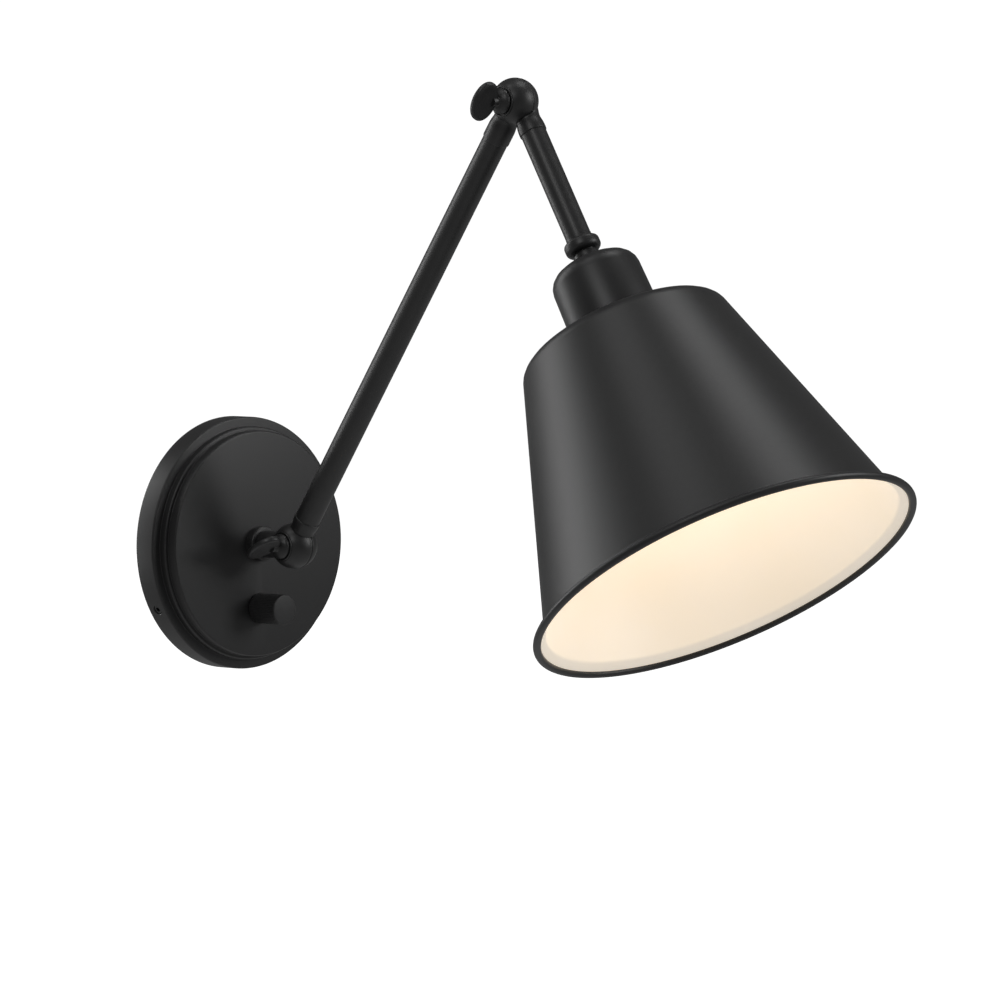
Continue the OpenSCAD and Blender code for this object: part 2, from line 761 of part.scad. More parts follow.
mounting_plate();
ground_screw();
canopy();
canopy_set_screws();
supply_leads();
wire_connectors();
stem_collar();
stem_washer();
stem_nut();
stem_lead();
base_knuckle_fixed();
base_friction_washer();
dimmer_module();
dimmer_nut();
dimmer_shaft();
dimmer_knob();
base_thumb_wing();
base_clamp_screw();
base_knuckle_moving();
lower_tube();
lower_lead();
elbow_knuckle_lower();
elbow_friction_washer();
elbow_thumb_wing();
elbow_clamp_screw();
elbow_knuckle_upper();
upper_tube();
upper_lead();
neck_bead();
nipple();
nipple_nut();
socket_cup();
lampholder();
terminal_screws();
screw_shell();
centre_contact();
shade();
shade_ring();
bulb_cap();
bulb_glass();
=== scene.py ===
"""Looks of an adjustable wall lamp: round stepped canopy, two jointed arms and a flared metal shade."""

import json
import logging
import math
from dataclasses import dataclass
from enum import Enum
from typing import ClassVar, Iterable, NamedTuple, Sequence

import bmesh
import bpy
from mathutils import Matrix, Vector

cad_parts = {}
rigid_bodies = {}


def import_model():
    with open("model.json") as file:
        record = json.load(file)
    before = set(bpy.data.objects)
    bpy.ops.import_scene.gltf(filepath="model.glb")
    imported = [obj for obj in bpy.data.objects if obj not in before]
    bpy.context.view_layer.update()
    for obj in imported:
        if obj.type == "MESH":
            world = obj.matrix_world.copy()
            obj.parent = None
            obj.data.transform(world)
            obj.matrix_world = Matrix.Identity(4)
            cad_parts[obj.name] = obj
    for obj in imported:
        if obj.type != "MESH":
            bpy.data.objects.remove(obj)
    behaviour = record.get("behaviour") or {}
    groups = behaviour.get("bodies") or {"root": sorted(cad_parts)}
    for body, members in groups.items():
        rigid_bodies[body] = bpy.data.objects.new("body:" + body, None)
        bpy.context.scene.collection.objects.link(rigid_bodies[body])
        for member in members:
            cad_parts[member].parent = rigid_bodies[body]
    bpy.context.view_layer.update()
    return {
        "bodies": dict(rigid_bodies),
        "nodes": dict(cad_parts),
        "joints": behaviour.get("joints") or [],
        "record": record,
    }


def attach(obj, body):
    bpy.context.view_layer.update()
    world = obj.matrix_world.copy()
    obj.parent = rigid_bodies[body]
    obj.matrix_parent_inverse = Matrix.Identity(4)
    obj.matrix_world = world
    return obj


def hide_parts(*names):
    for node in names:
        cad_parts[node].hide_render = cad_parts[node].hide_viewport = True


MM = 0.001
LOG = logging.getLogger("wall_lamp")


class Body(Enum):
    """The rigid bodies of the lamp, by their names in the frame."""

    WALL_BASE = "wall_base"
    DIMMER = "dimmer"
    LOWER_ARM = "lower_arm"
    BASE_THUMB = "base_thumb"
    UPPER_ARM = "upper_arm"
    ELBOW_THUMB = "elbow_thumb"


class Slot(Enum):
    """The record's material slots, named for each new piece though the script does not use them."""

    SATIN_BLACK = "satin_black"
    SHADE_ENAMEL = "shade_enamel"
    KNOB_BLACK = "knob_black"
    HOLDER_PHENOLIC = "holder_phenolic"
    BULB_GLASS = "bulb_glass"


class Side(Enum):
    """The two halves of a knuckle, by their side of the hinge axis."""

    BOSS = -1
    PLAIN = 1


# ---- Places ----


@dataclass(frozen=True)
class Layout:
    """Where the lamp's axes lie. Lengths are millimetres and angles degrees."""

    canopy_h: float = 21.2
    collar_l: float = 4.6
    stem_neck_l: float = 10.1
    ball_r: float = 11.5
    lower_arm_l: float = 272.8
    lower_lean: float = 35.4
    upper_lean: float = 31.9
    upper_shift: float = 3.1
    base_wing_turn: float = 60.0
    elbow_wing_turn: float = 25.5

    @property
    def base_reach(self) -> float:
        """Distance of the base knuckle's centre from the wall."""
        return self.canopy_h + self.collar_l + self.stem_neck_l + self.ball_r

    @property
    def base(self) -> Vector:
        """Centre of the base knuckle."""
        return Vector((0, -self.base_reach, 0))

    @property
    def elbow(self) -> Vector:
        """Centre of the elbow knuckle."""
        lean = math.radians(self.lower_lean)
        return self.base + self.lower_arm_l * Vector((0, -math.sin(lean), math.cos(lean)))

    def _place(self, origin: Vector, turn: float) -> Matrix:
        """A frame at a point, turned about the X axis.

        Args:
            origin: the frame's origin.
            turn: angle in degrees.

        Returns:
            The frame as a matrix in millimetres.
        """
        return Matrix.Translation(origin) @ Matrix.Rotation(math.radians(turn), 4, "X")

    def on_wall(self) -> Matrix:
        """Local Z points out of the wall and local Y points up."""
        return self._place(Vector(), 90)

    def along_stem(self) -> Matrix:
        """Local Z runs from the base knuckle towards the wall."""
        return self._place(self.base, -90)

    def along_lower_arm(self) -> Matrix:
        """Local Z runs from the base knuckle to the elbow."""
        return self._place(self.base, self.lower_lean)

    def back_along_lower_arm(self) -> Matrix:
        """Local Z runs from the elbow to the base knuckle."""
        return self._place(self.elbow, self.lower_lean + 180)

    def along_upper_arm(self) -> Matrix:
        """Local Z runs from the elbow towards the shade, through the ball's centre."""
        return self._place(self.elbow, 180 - self.upper_lean)

    def on_upper_axis(self) -> Matrix:
        """Local Z is the upper arm's own axis, beside the ball's centre."""
        return self.along_upper_arm() @ Matrix.Translation((self.upper_shift, 0, 0))

    def at_base_wing(self) -> Matrix:
        """The base thumb screw's frame, its paddle standing along local Z."""
        return self._place(self.base, self.base_wing_turn)

    def at_elbow_wing(self) -> Matrix:
        """The elbow thumb screw's frame, its paddle standing along local Z."""
        return self._place(self.elbow, self.elbow_wing_turn)


# ---- Shaping ----


class Corner(NamedTuple):
    """A corner of a turned profile: radius, height and how far back from it the rounding starts."""

    r: float
    z: float
    rounding: float = 0.0


class Form:
    """A shape in the making, in millimetres, in the frame of its own piece."""

    HINGE: ClassVar[Matrix] = Matrix.Rotation(math.radians(90), 4, "Y")
    FLIPPED_HINGE: ClassVar[Matrix] = Matrix.Rotation(math.radians(-90), 4, "Y")
    MERGE: ClassVar[float] = 1e-4
    CORNER_SEGMENTS: ClassVar[int] = 5

    def __init__(self) -> None:
        """Starts with nothing."""
        self.bm = bmesh.new()

    def turned(self, corners: Sequence[Corner], steps: int = 64, closed: bool = True, paint: int = 0) -> "Form":
        """Adds a shape turned about local Z from its half profile.

        Args:
            corners: the profile's corners in order.
            steps: how many faces go round.
            closed: whether the last corner joins the first.
            paint: material index of the new faces.

        Returns:
            This form.
        """
        part = bmesh.new()
        points = [part.verts.new((c.r, 0, c.z)) for c in corners]
        for start, end in zip(points, points[1:]):
            part.edges.new((start, end))
        if closed:
            part.edges.new((points[-1], points[0]))
        for point, corner in zip(points, corners):
            if corner.rounding > 0:
                bmesh.ops.bevel(
                    part,
                    geom=[point],
                    offset=corner.rounding,
                    offset_type="OFFSET",
                    segments=self.CORNER_SEGMENTS,
                    profile=0.5,
                    affect="VERTICES",
                    material=-1,
                )
        bmesh.ops.spin(
            part,
            geom=part.verts[:] + part.edges[:],
            axis=(0, 0, 1),
            angle=math.tau,
            steps=steps,
            use_merge=True,
        )
        for face in part.faces:
            face.material_index = paint
        return self.add(part)

    def add(self, part: bmesh.types.BMesh, place: Matrix | None = None) -> "Form":
        """Takes in another mesh and frees it.

        Args:
            part: the mesh to take in.
            place: where it goes, if not where it is.

        Returns:
            This form.
        """
        if place is not None:
            bmesh.ops.transform(part, matrix=place, verts=part.verts[:])
        scratch = bpy.data.meshes.new("scratch")
        part.to_mesh(scratch)
        part.free()
        self.bm.from_mesh(scratch)
        bpy.data.meshes.remove(scratch)
        return self

    def moved(self, place: Matrix) -> "Form":
        """Moves everything made so far and returns this form."""
        bmesh.ops.transform(self.bm, matrix=place, verts=self.bm.verts[:])
        return self

    def cleaned(self) -> "Form":
        """Merges doubles, turns all faces outwards and returns this form."""
        bmesh.ops.remove_doubles(self.bm, verts=self.bm.verts[:], dist=self.MERGE)
        bmesh.ops.recalc_face_normals(self.bm, faces=self.bm.faces[:])
        return self

    def combined(self, other: "Form", operation: str) -> "Form":
        """Joins, cuts or crosses this form with another one, which is used up.

        Args:
            other: the second form.
            operation: UNION or DIFFERENCE.

        Returns:
            This form.
        """
        objects = []
        for form in (self, other):
            mesh = bpy.data.meshes.new("scratch")
            form.cleaned().bm.to_mesh(mesh)
            form.bm.free()
            scratch = bpy.data.objects.new("scratch", mesh)
            bpy.context.scene.collection.objects.link(scratch)
            objects.append(scratch)
        cut = objects[0].modifiers.new("cut", "BOOLEAN")
        cut.operation = operation
        cut.solver = "EXACT"
        cut.object = objects[1]
        graph = bpy.context.evaluated_depsgraph_get()
        mesh = bpy.data.meshes.new_from_object(objects[0].evaluated_get(graph))
        self.bm = bmesh.new()
        self.bm.from_mesh(mesh)
        bpy.data.meshes.remove(mesh)
        for scratch in objects:
            mesh = scratch.data
            bpy.data.objects.remove(scratch)
            bpy.data.meshes.remove(mesh)
        return self

    def joined(self, other: "Form") -> "Form":
        """This form and another as one solid."""
        return self.combined(other, "UNION")

    def without(self, other: "Form") -> "Form":
        """This form with another cut out of it."""
        return self.combined(other, "DIFFERENCE")

    def piece(self, name: str, place: Matrix, finishes: Sequence[bpy.types.Material], crease: float = 32) -> bpy.types.Object:
        """Ends the form as an object at the origin, with its place in its mesh.

        Args:
            name: the piece's name.
            place: its frame, in millimetres.
            finishes: its materials, in the order of the material indices.
            crease: edges sharper than this angle in degrees stay sharp.

        Returns:
            The new object.
        """
        self.moved(Matrix.Scale(MM, 4) @ place)
        bmesh.ops.remove_doubles(self.bm, verts=self.bm.verts[:], dist=self.MERGE * MM)
        bmesh.ops.recalc_face_normals(self.bm, faces=self.bm.faces[:])
        mesh = bpy.data.meshes.new(name)
        self.bm.to_mesh(mesh)
        self.bm.free()
        for finish in finishes:
            mesh.materials.append(finish)
        mesh.shade_smooth()
        mesh.set_sharp_from_angle(angle=math.radians(crease))
        made = bpy.data.objects.new(name, mesh)
        bpy.context.scene.collection.objects.link(made)
        return made


def rod(r: float, low: float, high: float, sides: int = 48) -> Form:
    """A solid rod about local Z.

    Args:
        r: its radius.
        low: its lower end.
        high: its upper end.
        sides: how many faces go round.

    Returns:
        The rod as a form.
    """
    form = Form()
    bmesh.ops.create_cone(
        form.bm,
        cap_ends=True,
        segments=sides,
        radius1=r,
        radius2=r,
        depth=high - low,
        matrix=Matrix.Translation((0, 0, (low + high) / 2)),
    )
    return form


def settle(made: bpy.types.Object, body: Body, slot: Slot, *nodes: str) -> bpy.types.Object:
    """Lets a new piece ride on its body in place of CAD nodes.

    Args:
        made: the new piece.
        body: the body it rides on.
        slot: the record's slot for its finish; not used.
        nodes: the CAD nodes that it stands for.

    Returns:
        The piece.
    """
    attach(made, body.value)
    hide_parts(*nodes)
    LOG.info("%s: %d faces, on %s, stands for %s", made.name, len(made.data.polygons), body.value, ", ".join(nodes))
    return made


# ---- Finishes ----


class Graph:
    """Adds nodes to a material's or a group's tree."""

    def __init__(self, tree: bpy.types.NodeTree) -> None:
        """Works on one tree."""
        self.tree = tree

    def node(self, kind: str, inputs: dict[str, object] | None = None, **settings: object) -> bpy.types.Node:
        """Adds one node.

        Args:
            kind: its type name.
            inputs: values or sockets for its inputs, by socket name or number.
            settings: its own properties.

        Returns:
            The node.
        """
        made = self.tree.nodes.new(kind)
        for key, value in settings.items():
            setattr(made, key, value)
        for key, value in (inputs or {}).items():
            socket = made.inputs[key]
            if isinstance(value, bpy.types.NodeSocket):
                self.tree.links.new(value, socket)
            else:
                socket.default_value = value
        return made

    def math(self, operation: str, first: object, second: object = 0.0) -> bpy.types.NodeSocket:
        """Puts two values through one operation and returns the result's socket."""
        return self.node("ShaderNodeMath", {0: first, 1: second}, operation=operation).outputs[0]

    def spread(self, value: bpy.types.NodeSocket, low: float, high: float, start: float = 0.0, end: float = 1.0) -> bpy.types.NodeSocket:
        """Spreads a value over a new range.

        Args:
            value: the value.
            low: result at its lower end.
            high: result at its upper end.
            start: lower end of the value.
            end: upper end of the value.

        Returns:
            The new value's socket.
        """
        inputs = {"Value": value, "From Min": start, "From Max": end, "To Min": low, "To Max": high}
        return self.node("ShaderNodeMapRange", inputs).outputs["Result"]

    def blend(self, mask: object, below: object, above: object) -> bpy.types.NodeSocket:
        """Mixes two colours by a mask and returns the colour's socket."""
        mix = self.node("ShaderNodeMix", data_type="RGBA")
        for index, value in ((0, mask), (6, below), (7, above)):
            if isinstance(value, bpy.types.NodeSocket):
                self.tree.links.new(value, mix.inputs[index])
            else:
                mix.inputs[index].default_value = value
        return mix.outputs[2]


def shared_group(name: str, inputs: dict[str, float], outputs: Iterable[str]) -> tuple[bpy.types.NodeTree, Graph, bpy.types.Node, bpy.types.Node]:
    """Starts a shader node group with float sockets.

    Args:
        name: the group's name.
        inputs: input names with their usual values.
        outputs: output names.

    Returns:
        The group, a graph on it, its input node and its output node.
    """
    tree = bpy.data.node_groups.new(name, "ShaderNodeTree")
    for key, value in inputs.items():
        socket = tree.interface.new_socket(key, in_out="INPUT", socket_type="NodeSocketFloat")
        socket.default_value = value
    for key in outputs:
        tree.interface.new_socket(key, in_out="OUTPUT", socket_type="NodeSocketFloat")
    graph = Graph(tree)
    return tree, graph, graph.node("NodeGroupInput"), graph.node("NodeGroupOutput")


class Effects:
    """The node groups that several finishes share, each built once."""

    _made: ClassVar[dict[str, bpy.types.NodeTree]] = {}

    @classmethod
    def grain(cls) -> bpy.types.NodeTree:
        """Fine orange peel of a sprayed coat: a height, a broad tone and a fine gloss value."""
        if "grain" in cls._made:
            return cls._made["grain"]
        tree, graph, given, result = shared_group("coat_grain", {"Peel Size": 1.2, "Patch Size": 45.0}, ("Height", "Tone", "Gloss"))
        place = graph.node("ShaderNodeTexCoord").outputs["Object"]
        peel_scale = graph.math("DIVIDE", 1000.0, given.outputs["Peel Size"])
        patch_scale = graph.math("DIVIDE", 1000.0, given.outputs["Patch Size"])
        peel = graph.node("ShaderNodeTexNoise", {"Vector": place, "Scale": peel_scale, "Detail": 2.0, "Roughness": 0.45})
        fine_scale = graph.math("MULTIPLY", peel_scale, 3.7)
        fine = graph.node("ShaderNodeTexNoise", {"Vector": place, "Scale": fine_scale, "Detail": 1.0})
        patch = graph.node("ShaderNodeTexNoise", {"Vector": place, "Scale": patch_scale, "Detail": 3.0, "Roughness": 0.55})
        height = graph.math("ADD", peel.outputs["Fac"], graph.math("MULTIPLY", fine.outputs["Fac"], 0.3))
        graph.tree.links.new(height, result.inputs["Height"])
        graph.tree.links.new(patch.outputs["Fac"], result.inputs["Tone"])
        graph.tree.links.new(fine.outputs["Fac"], result.inputs["Gloss"])
        cls._made["grain"] = tree
        return tree

    @classmethod
    def edge_wear_and_sheen(cls) -> bpy.types.NodeTree:
        """A mask of outer edges, broken up by noise, for worn paint and a painted edge sheen."""
        if "edge_wear_and_sheen" in cls._made:
            return cls._made["edge_wear_and_sheen"]
        tree, graph, given, result = shared_group("edge_wear_and_sheen", {"Amount": 0.5, "Break Size": 6.0}, ("Mask",))
        place = graph.node("ShaderNodeTexCoord").outputs["Object"]
        scale = graph.math("DIVIDE", 1000.0, given.outputs["Break Size"])
        broken = graph.node("ShaderNodeTexNoise", {"Vector": place, "Scale": scale, "Detail": 3.0})
        # Pointiness picks out the edges; the mask marks them as worn paint and as painted sheen.
        edge = graph.spread(graph.node("ShaderNodeNewGeometry").outputs["Pointiness"], 0.0, 1.0, 0.58, 0.68)
        rubbed_and_sheen = graph.math("MULTIPLY", edge, graph.spread(broken.outputs["Fac"], 0.3, 1.0, 0.4, 0.6))
        graph.tree.links.new(graph.math("MULTIPLY", rubbed_and_sheen, given.outputs["Amount"]), result.inputs["Mask"])
        cls._made["edge_wear_and_sheen"] = tree
        return tree

    @classmethod
    def dust(cls) -> bpy.types.NodeTree:
        """A mask of thin dust on faces that look up."""
        if "dust" in cls._made:
            return cls._made["dust"]
        tree, graph, given, result = shared_group("dust", {"Amount": 0.1, "Speck Size": 3.0}, ("Mask",))
        place = graph.node("ShaderNodeTexCoord").outputs["Object"]
        scale = graph.math("DIVIDE", 1000.0, given.outputs["Speck Size"])
        speck = graph.node("ShaderNodeTexNoise", {"Vector": place, "Scale": scale, "Detail": 4.0, "Roughness": 0.7})
        facing = graph.node("ShaderNodeNewGeometry").outputs["Normal"]
        up = graph.node("ShaderNodeSeparateXYZ", {0: facing}).outputs["Z"]
        lying = graph.math("MULTIPLY", graph.spread(up, 0.0, 1.0, 0.2, 0.9), graph.spread(speck.outputs["Fac"], 0.0, 1.0, 0.35, 0.75))
        graph.tree.links.new(graph.math("MULTIPLY", lying, given.outputs["Amount"]), result.inputs["Mask"])
        cls._made["dust"] = tree
        return tree


Colour = tuple[float, float, float]


def opaque(colour: Colour) -> tuple[float, float, float, float]:
    """A colour with full alpha."""
    return (*colour, 1.0)


def new_material(name: str) -> tuple[bpy.types.Material, Graph, bpy.types.Node]:
    """Starts a material.

    Args:
        name: its name.

    Returns:
        The material, a graph on it and its main shader.
    """
    material = bpy.data.materials.new(name)
    material.use_nodes = True
    graph = Graph(material.node_tree)
    return material, graph, material.node_tree.nodes["Principled BSDF"]


@dataclass(frozen=True)
class CoatedMetal:
    """A sprayed or baked coat on metal: colour, gloss, orange peel, edges lightened by worn paint and painted sheen,
    dust, and a painted glow for bounce light.
    """

    name: str
    colour: Colour
    tone_colour: Colour
    worn_and_sheen_colour: Colour = (0.09, 0.088, 0.085)
    dust_colour: Colour = (0.32, 0.30, 0.28)
    roughness: tuple[float, float] = (0.40, 0.45)
    specular: float = 0.5
    painted_bounce_glow: float = 0.0
    peel_size: float = 1.2
    peel_depth: float = 0.04
    wear_and_sheen: float = 0.12
    dust: float = 0.015

    def build(self) -> bpy.types.Material:
        """Makes the material."""
        material, graph, shader = new_material(self.name)
        grain = graph.node("ShaderNodeGroup", node_tree=Effects.grain())
        grain.inputs["Peel Size"].default_value = self.peel_size
        edge = graph.node("ShaderNodeGroup", node_tree=Effects.edge_wear_and_sheen())
        edge.inputs["Amount"].default_value = self.wear_and_sheen
        dust = graph.node("ShaderNodeGroup", node_tree=Effects.dust())
        dust.inputs["Amount"].default_value = self.dust
        toned = graph.blend(graph.spread(grain.outputs["Tone"], 0.0, 1.0, 0.35, 0.65), opaque(self.colour), opaque(self.tone_colour))
        # Edges take the worn colour, lighter on black: worn paint and a painted sheen.
        rubbed_and_sheen = graph.blend(edge.outputs["Mask"], toned, opaque(self.worn_and_sheen_colour))
        dusty = graph.blend(dust.outputs["Mask"], rubbed_and_sheen, opaque(self.dust_colour))
        gloss = graph.spread(grain.outputs["Gloss"], self.roughness[0], self.roughness[1], 0.3, 0.7)
        bump = graph.node("ShaderNodeBump", {"Height": grain.outputs["Height"], "Strength": self.peel_depth, "Distance": 0.1 * MM})
        graph.tree.links.new(dusty, shader.inputs["Base Color"])
        graph.tree.links.new(graph.math("ADD", gloss, graph.math("MULTIPLY", dust.outputs["Mask"], 0.6)), shader.inputs["Roughness"])
        graph.tree.links.new(bump.outputs["Normal"], shader.inputs["Normal"])
        # Painted bounce light: the coat glows in its own colour at this strength.
        graph.tree.links.new(dusty, shader.inputs["Emission Color"])
        shader.inputs["Emission Strength"].default_value = self.painted_bounce_glow
        shader.inputs["Specular IOR Level"].default_value = self.specular
        return material


@dataclass(frozen=True)
class BareMetal:
    """Bare or plated metal with a directionless fine grain, tarnished patches, and edges kept clean by worn-off tarnish
    and painted sheen.
    """

    name: str
    colour: Colour
    tarnish: Colour
    roughness: tuple[float, float] = (0.25, 0.42)
    grain_size: float = 0.5

    def build(self) -> bpy.types.Material:
        """Makes the material."""
        material, graph, shader = new_material(self.name)
        grain = graph.node("ShaderNodeGroup", node_tree=Effects.grain())
        grain.inputs["Peel Size"].default_value = self.grain_size
        grain.inputs["Patch Size"].default_value = 12.0
        edge = graph.node("ShaderNodeGroup", node_tree=Effects.edge_wear_and_sheen())
        toned = graph.blend(graph.spread(grain.outputs["Tone"], 0.0, 1.0, 0.4, 0.7), opaque(self.colour), opaque(self.tarnish))
        # Edges return to the clean colour: tarnish worn off and a painted sheen.
        edge_worn_and_sheen = graph.blend(edge.outputs["Mask"], toned, opaque(self.colour))
        bump = graph.node("ShaderNodeBump", {"Height": grain.outputs["Height"], "Strength": 0.12, "Distance": 0.05 * MM})
        graph.tree.links.new(edge_worn_and_sheen, shader.inputs["Base Color"])
        graph.tree.links.new(graph.spread(grain.outputs["Tone"], self.roughness[0], self.roughness[1], 0.35, 0.65), shader.inputs["Roughness"])
        graph.tree.links.new(bump.outputs["Normal"], shader.inputs["Normal"])
        shader.inputs["Metallic"].default_value = 1.0
        return material


@dataclass(frozen=True)
class Moulded:
    """Moulded plastic, rubber or nylon with a fine spark-eroded texture."""

    name: str
    colour: Colour
    tone_colour: Colour
    roughness: tuple[float, float] = (0.42, 0.56)
    texture_size: float = 0.6
    texture_depth: float = 0.25
    dust: float = 0.05

    def build(self) -> bpy.types.Material:
        """Makes the material."""
        material, graph, shader = new_material(self.name)
        grain = graph.node("ShaderNodeGroup", node_tree=Effects.grain())
        grain.inputs["Peel Size"].default_value = self.texture_size
        grain.inputs["Patch Size"].default_value = 9.0
        dust = graph.node("ShaderNodeGroup", node_tree=Effects.dust())
        dust.inputs["Amount"].default_value = self.dust
        toned = graph.blend(graph.spread(grain.outputs["Tone"], 0.0, 1.0, 0.35, 0.65), opaque(self.colour), opaque(self.tone_colour))
        dusty = graph.blend(dust.outputs["Mask"], toned, (0.3, 0.29, 0.27, 1.0))
        bump = graph.node("ShaderNodeBump", {"Height": grain.outputs["Height"], "Strength": self.texture_depth, "Distance": 0.08 * MM})
        graph.tree.links.new(dusty, shader.inputs["Base Color"])
        graph.tree.links.new(graph.spread(grain.outputs["Gloss"], self.roughness[0], self.roughness[1], 0.3, 0.7), shader.inputs["Roughness"])
        graph.tree.links.new(bump.outputs["Normal"], shader.inputs["Normal"])
        return material


@dataclass(frozen=True)
class LitGlass:
    """Frosted bulb glass that glows from inside, a little brighter in patches."""

    name: str
    colour: Colour = (0.95, 0.9, 0.8)
    glow: Colour = (1.0, 0.90, 0.76)
    hot_glow: Colour = (1.0, 0.93, 0.82)
    strength: float = 1.3

    def build(self) -> bpy.types.Material:
        """Makes the material."""
        material, graph, shader = new_material(self.name)
        grain = graph.node("ShaderNodeGroup", node_tree=Effects.grain())
        grain.inputs["Peel Size"].default_value = 0.8
        grain.inputs["Patch Size"].default_value = 30.0
        glow = graph.blend(graph.spread(grain.outputs["Tone"], 0.0, 1.0, 0.35, 0.65), opaque(self.glow), opaque(self.hot_glow))
        bump = graph.node("ShaderNodeBump", {"Height": grain.outputs["Height"], "Strength": 0.1, "Distance": 0.05 * MM})
        graph.tree.links.new(glow, shader.inputs["Emission Color"])
        graph.tree.links.new(graph.spread(grain.outputs["Gloss"], 0.28, 0.36, 0.3, 0.7), shader.inputs["Roughness"])
        graph.tree.links.new(bump.outputs["Normal"], shader.inputs["Normal"])
        shader.inputs["Base Color"].default_value = opaque(self.colour)
        shader.inputs["Emission Strength"].default_value = self.strength
        return material


@dataclass(frozen=True)
class Finishes:
    """Every finish of the lamp, built once."""

    satin_black: bpy.types.Material
    warm_white: bpy.types.Material
    knob_black: bpy.types.Material
    zinc: bpy.types.Material
    ground_green: bpy.types.Material
    brass: bpy.types.Material
    nylon: bpy.types.Material
    lead_sheath: bpy.types.Material
    supply_wire: bpy.types.Material
    connector: bpy.types.Material
    dimmer_case: bpy.types.Material
    phenolic: bpy.types.Material
    bulb_glass: bpy.types.Material
    bulb_cap: bpy.types.Material

    @classmethod
    def make(cls) -> "Finishes":
        """Builds all of them."""
        return cls(
            satin_black=CoatedMetal("satin_black_coat", (0.0120, 0.0121, 0.0125), (0.0132, 0.0132, 0.0136)).build(),
            # Warm white enamel inside the shade, with a painted glow standing in for the bulb's bounce light.
            warm_white=CoatedMetal(
                "warm_white_enamel",
                (0.90, 0.82, 0.71),
                (0.885, 0.80, 0.68),
                worn_and_sheen_colour=(0.8, 0.75, 0.66),
                dust_colour=(0.7, 0.66, 0.58),
                roughness=(0.42, 0.5),
                painted_bounce_glow=0.36,
                peel_depth=0.06,
                wear_and_sheen=0.1,
                dust=0.02,
            ).build(),
            knob_black=Moulded("knob_black_plastic", (0.010, 0.010, 0.0105), (0.013, 0.013, 0.0135)).build(),
            zinc=BareMetal("zinc_plate", (0.62, 0.63, 0.64), (0.48, 0.48, 0.46)).build(),
            ground_green=CoatedMetal("ground_green_dye", (0.04, 0.26, 0.09), (0.05, 0.31, 0.12)).build(),
            brass=BareMetal("machined_brass", (0.78, 0.58, 0.26), (0.55, 0.38, 0.15)).build(),
            nylon=Moulded("washer_nylon", (0.02, 0.02, 0.02), (0.03, 0.03, 0.03)).build(),
            lead_sheath=Moulded("lead_sheath", (0.015, 0.015, 0.015), (0.02, 0.02, 0.02)).build(),
            supply_wire=Moulded("supply_wire", (0.30, 0.30, 0.29), (0.36, 0.36, 0.35)).build(),
            connector=Moulded("connector_amber", (0.62, 0.30, 0.05), (0.70, 0.36, 0.07)).build(),
            dimmer_case=Moulded("dimmer_case", (0.03, 0.032, 0.037), (0.04, 0.042, 0.048)).build(),
            phenolic=Moulded("holder_phenolic", (0.035, 0.024, 0.018), (0.05, 0.034, 0.026), roughness=(0.3, 0.42)).build(),
            bulb_glass=LitGlass("lit_bulb_glass").build(),
            bulb_cap=BareMetal("bulb_cap_aluminium", (0.78, 0.78, 0.79), (0.62, 0.61, 0.60)).build(),
        )


# ---- Sub-assemblies ----


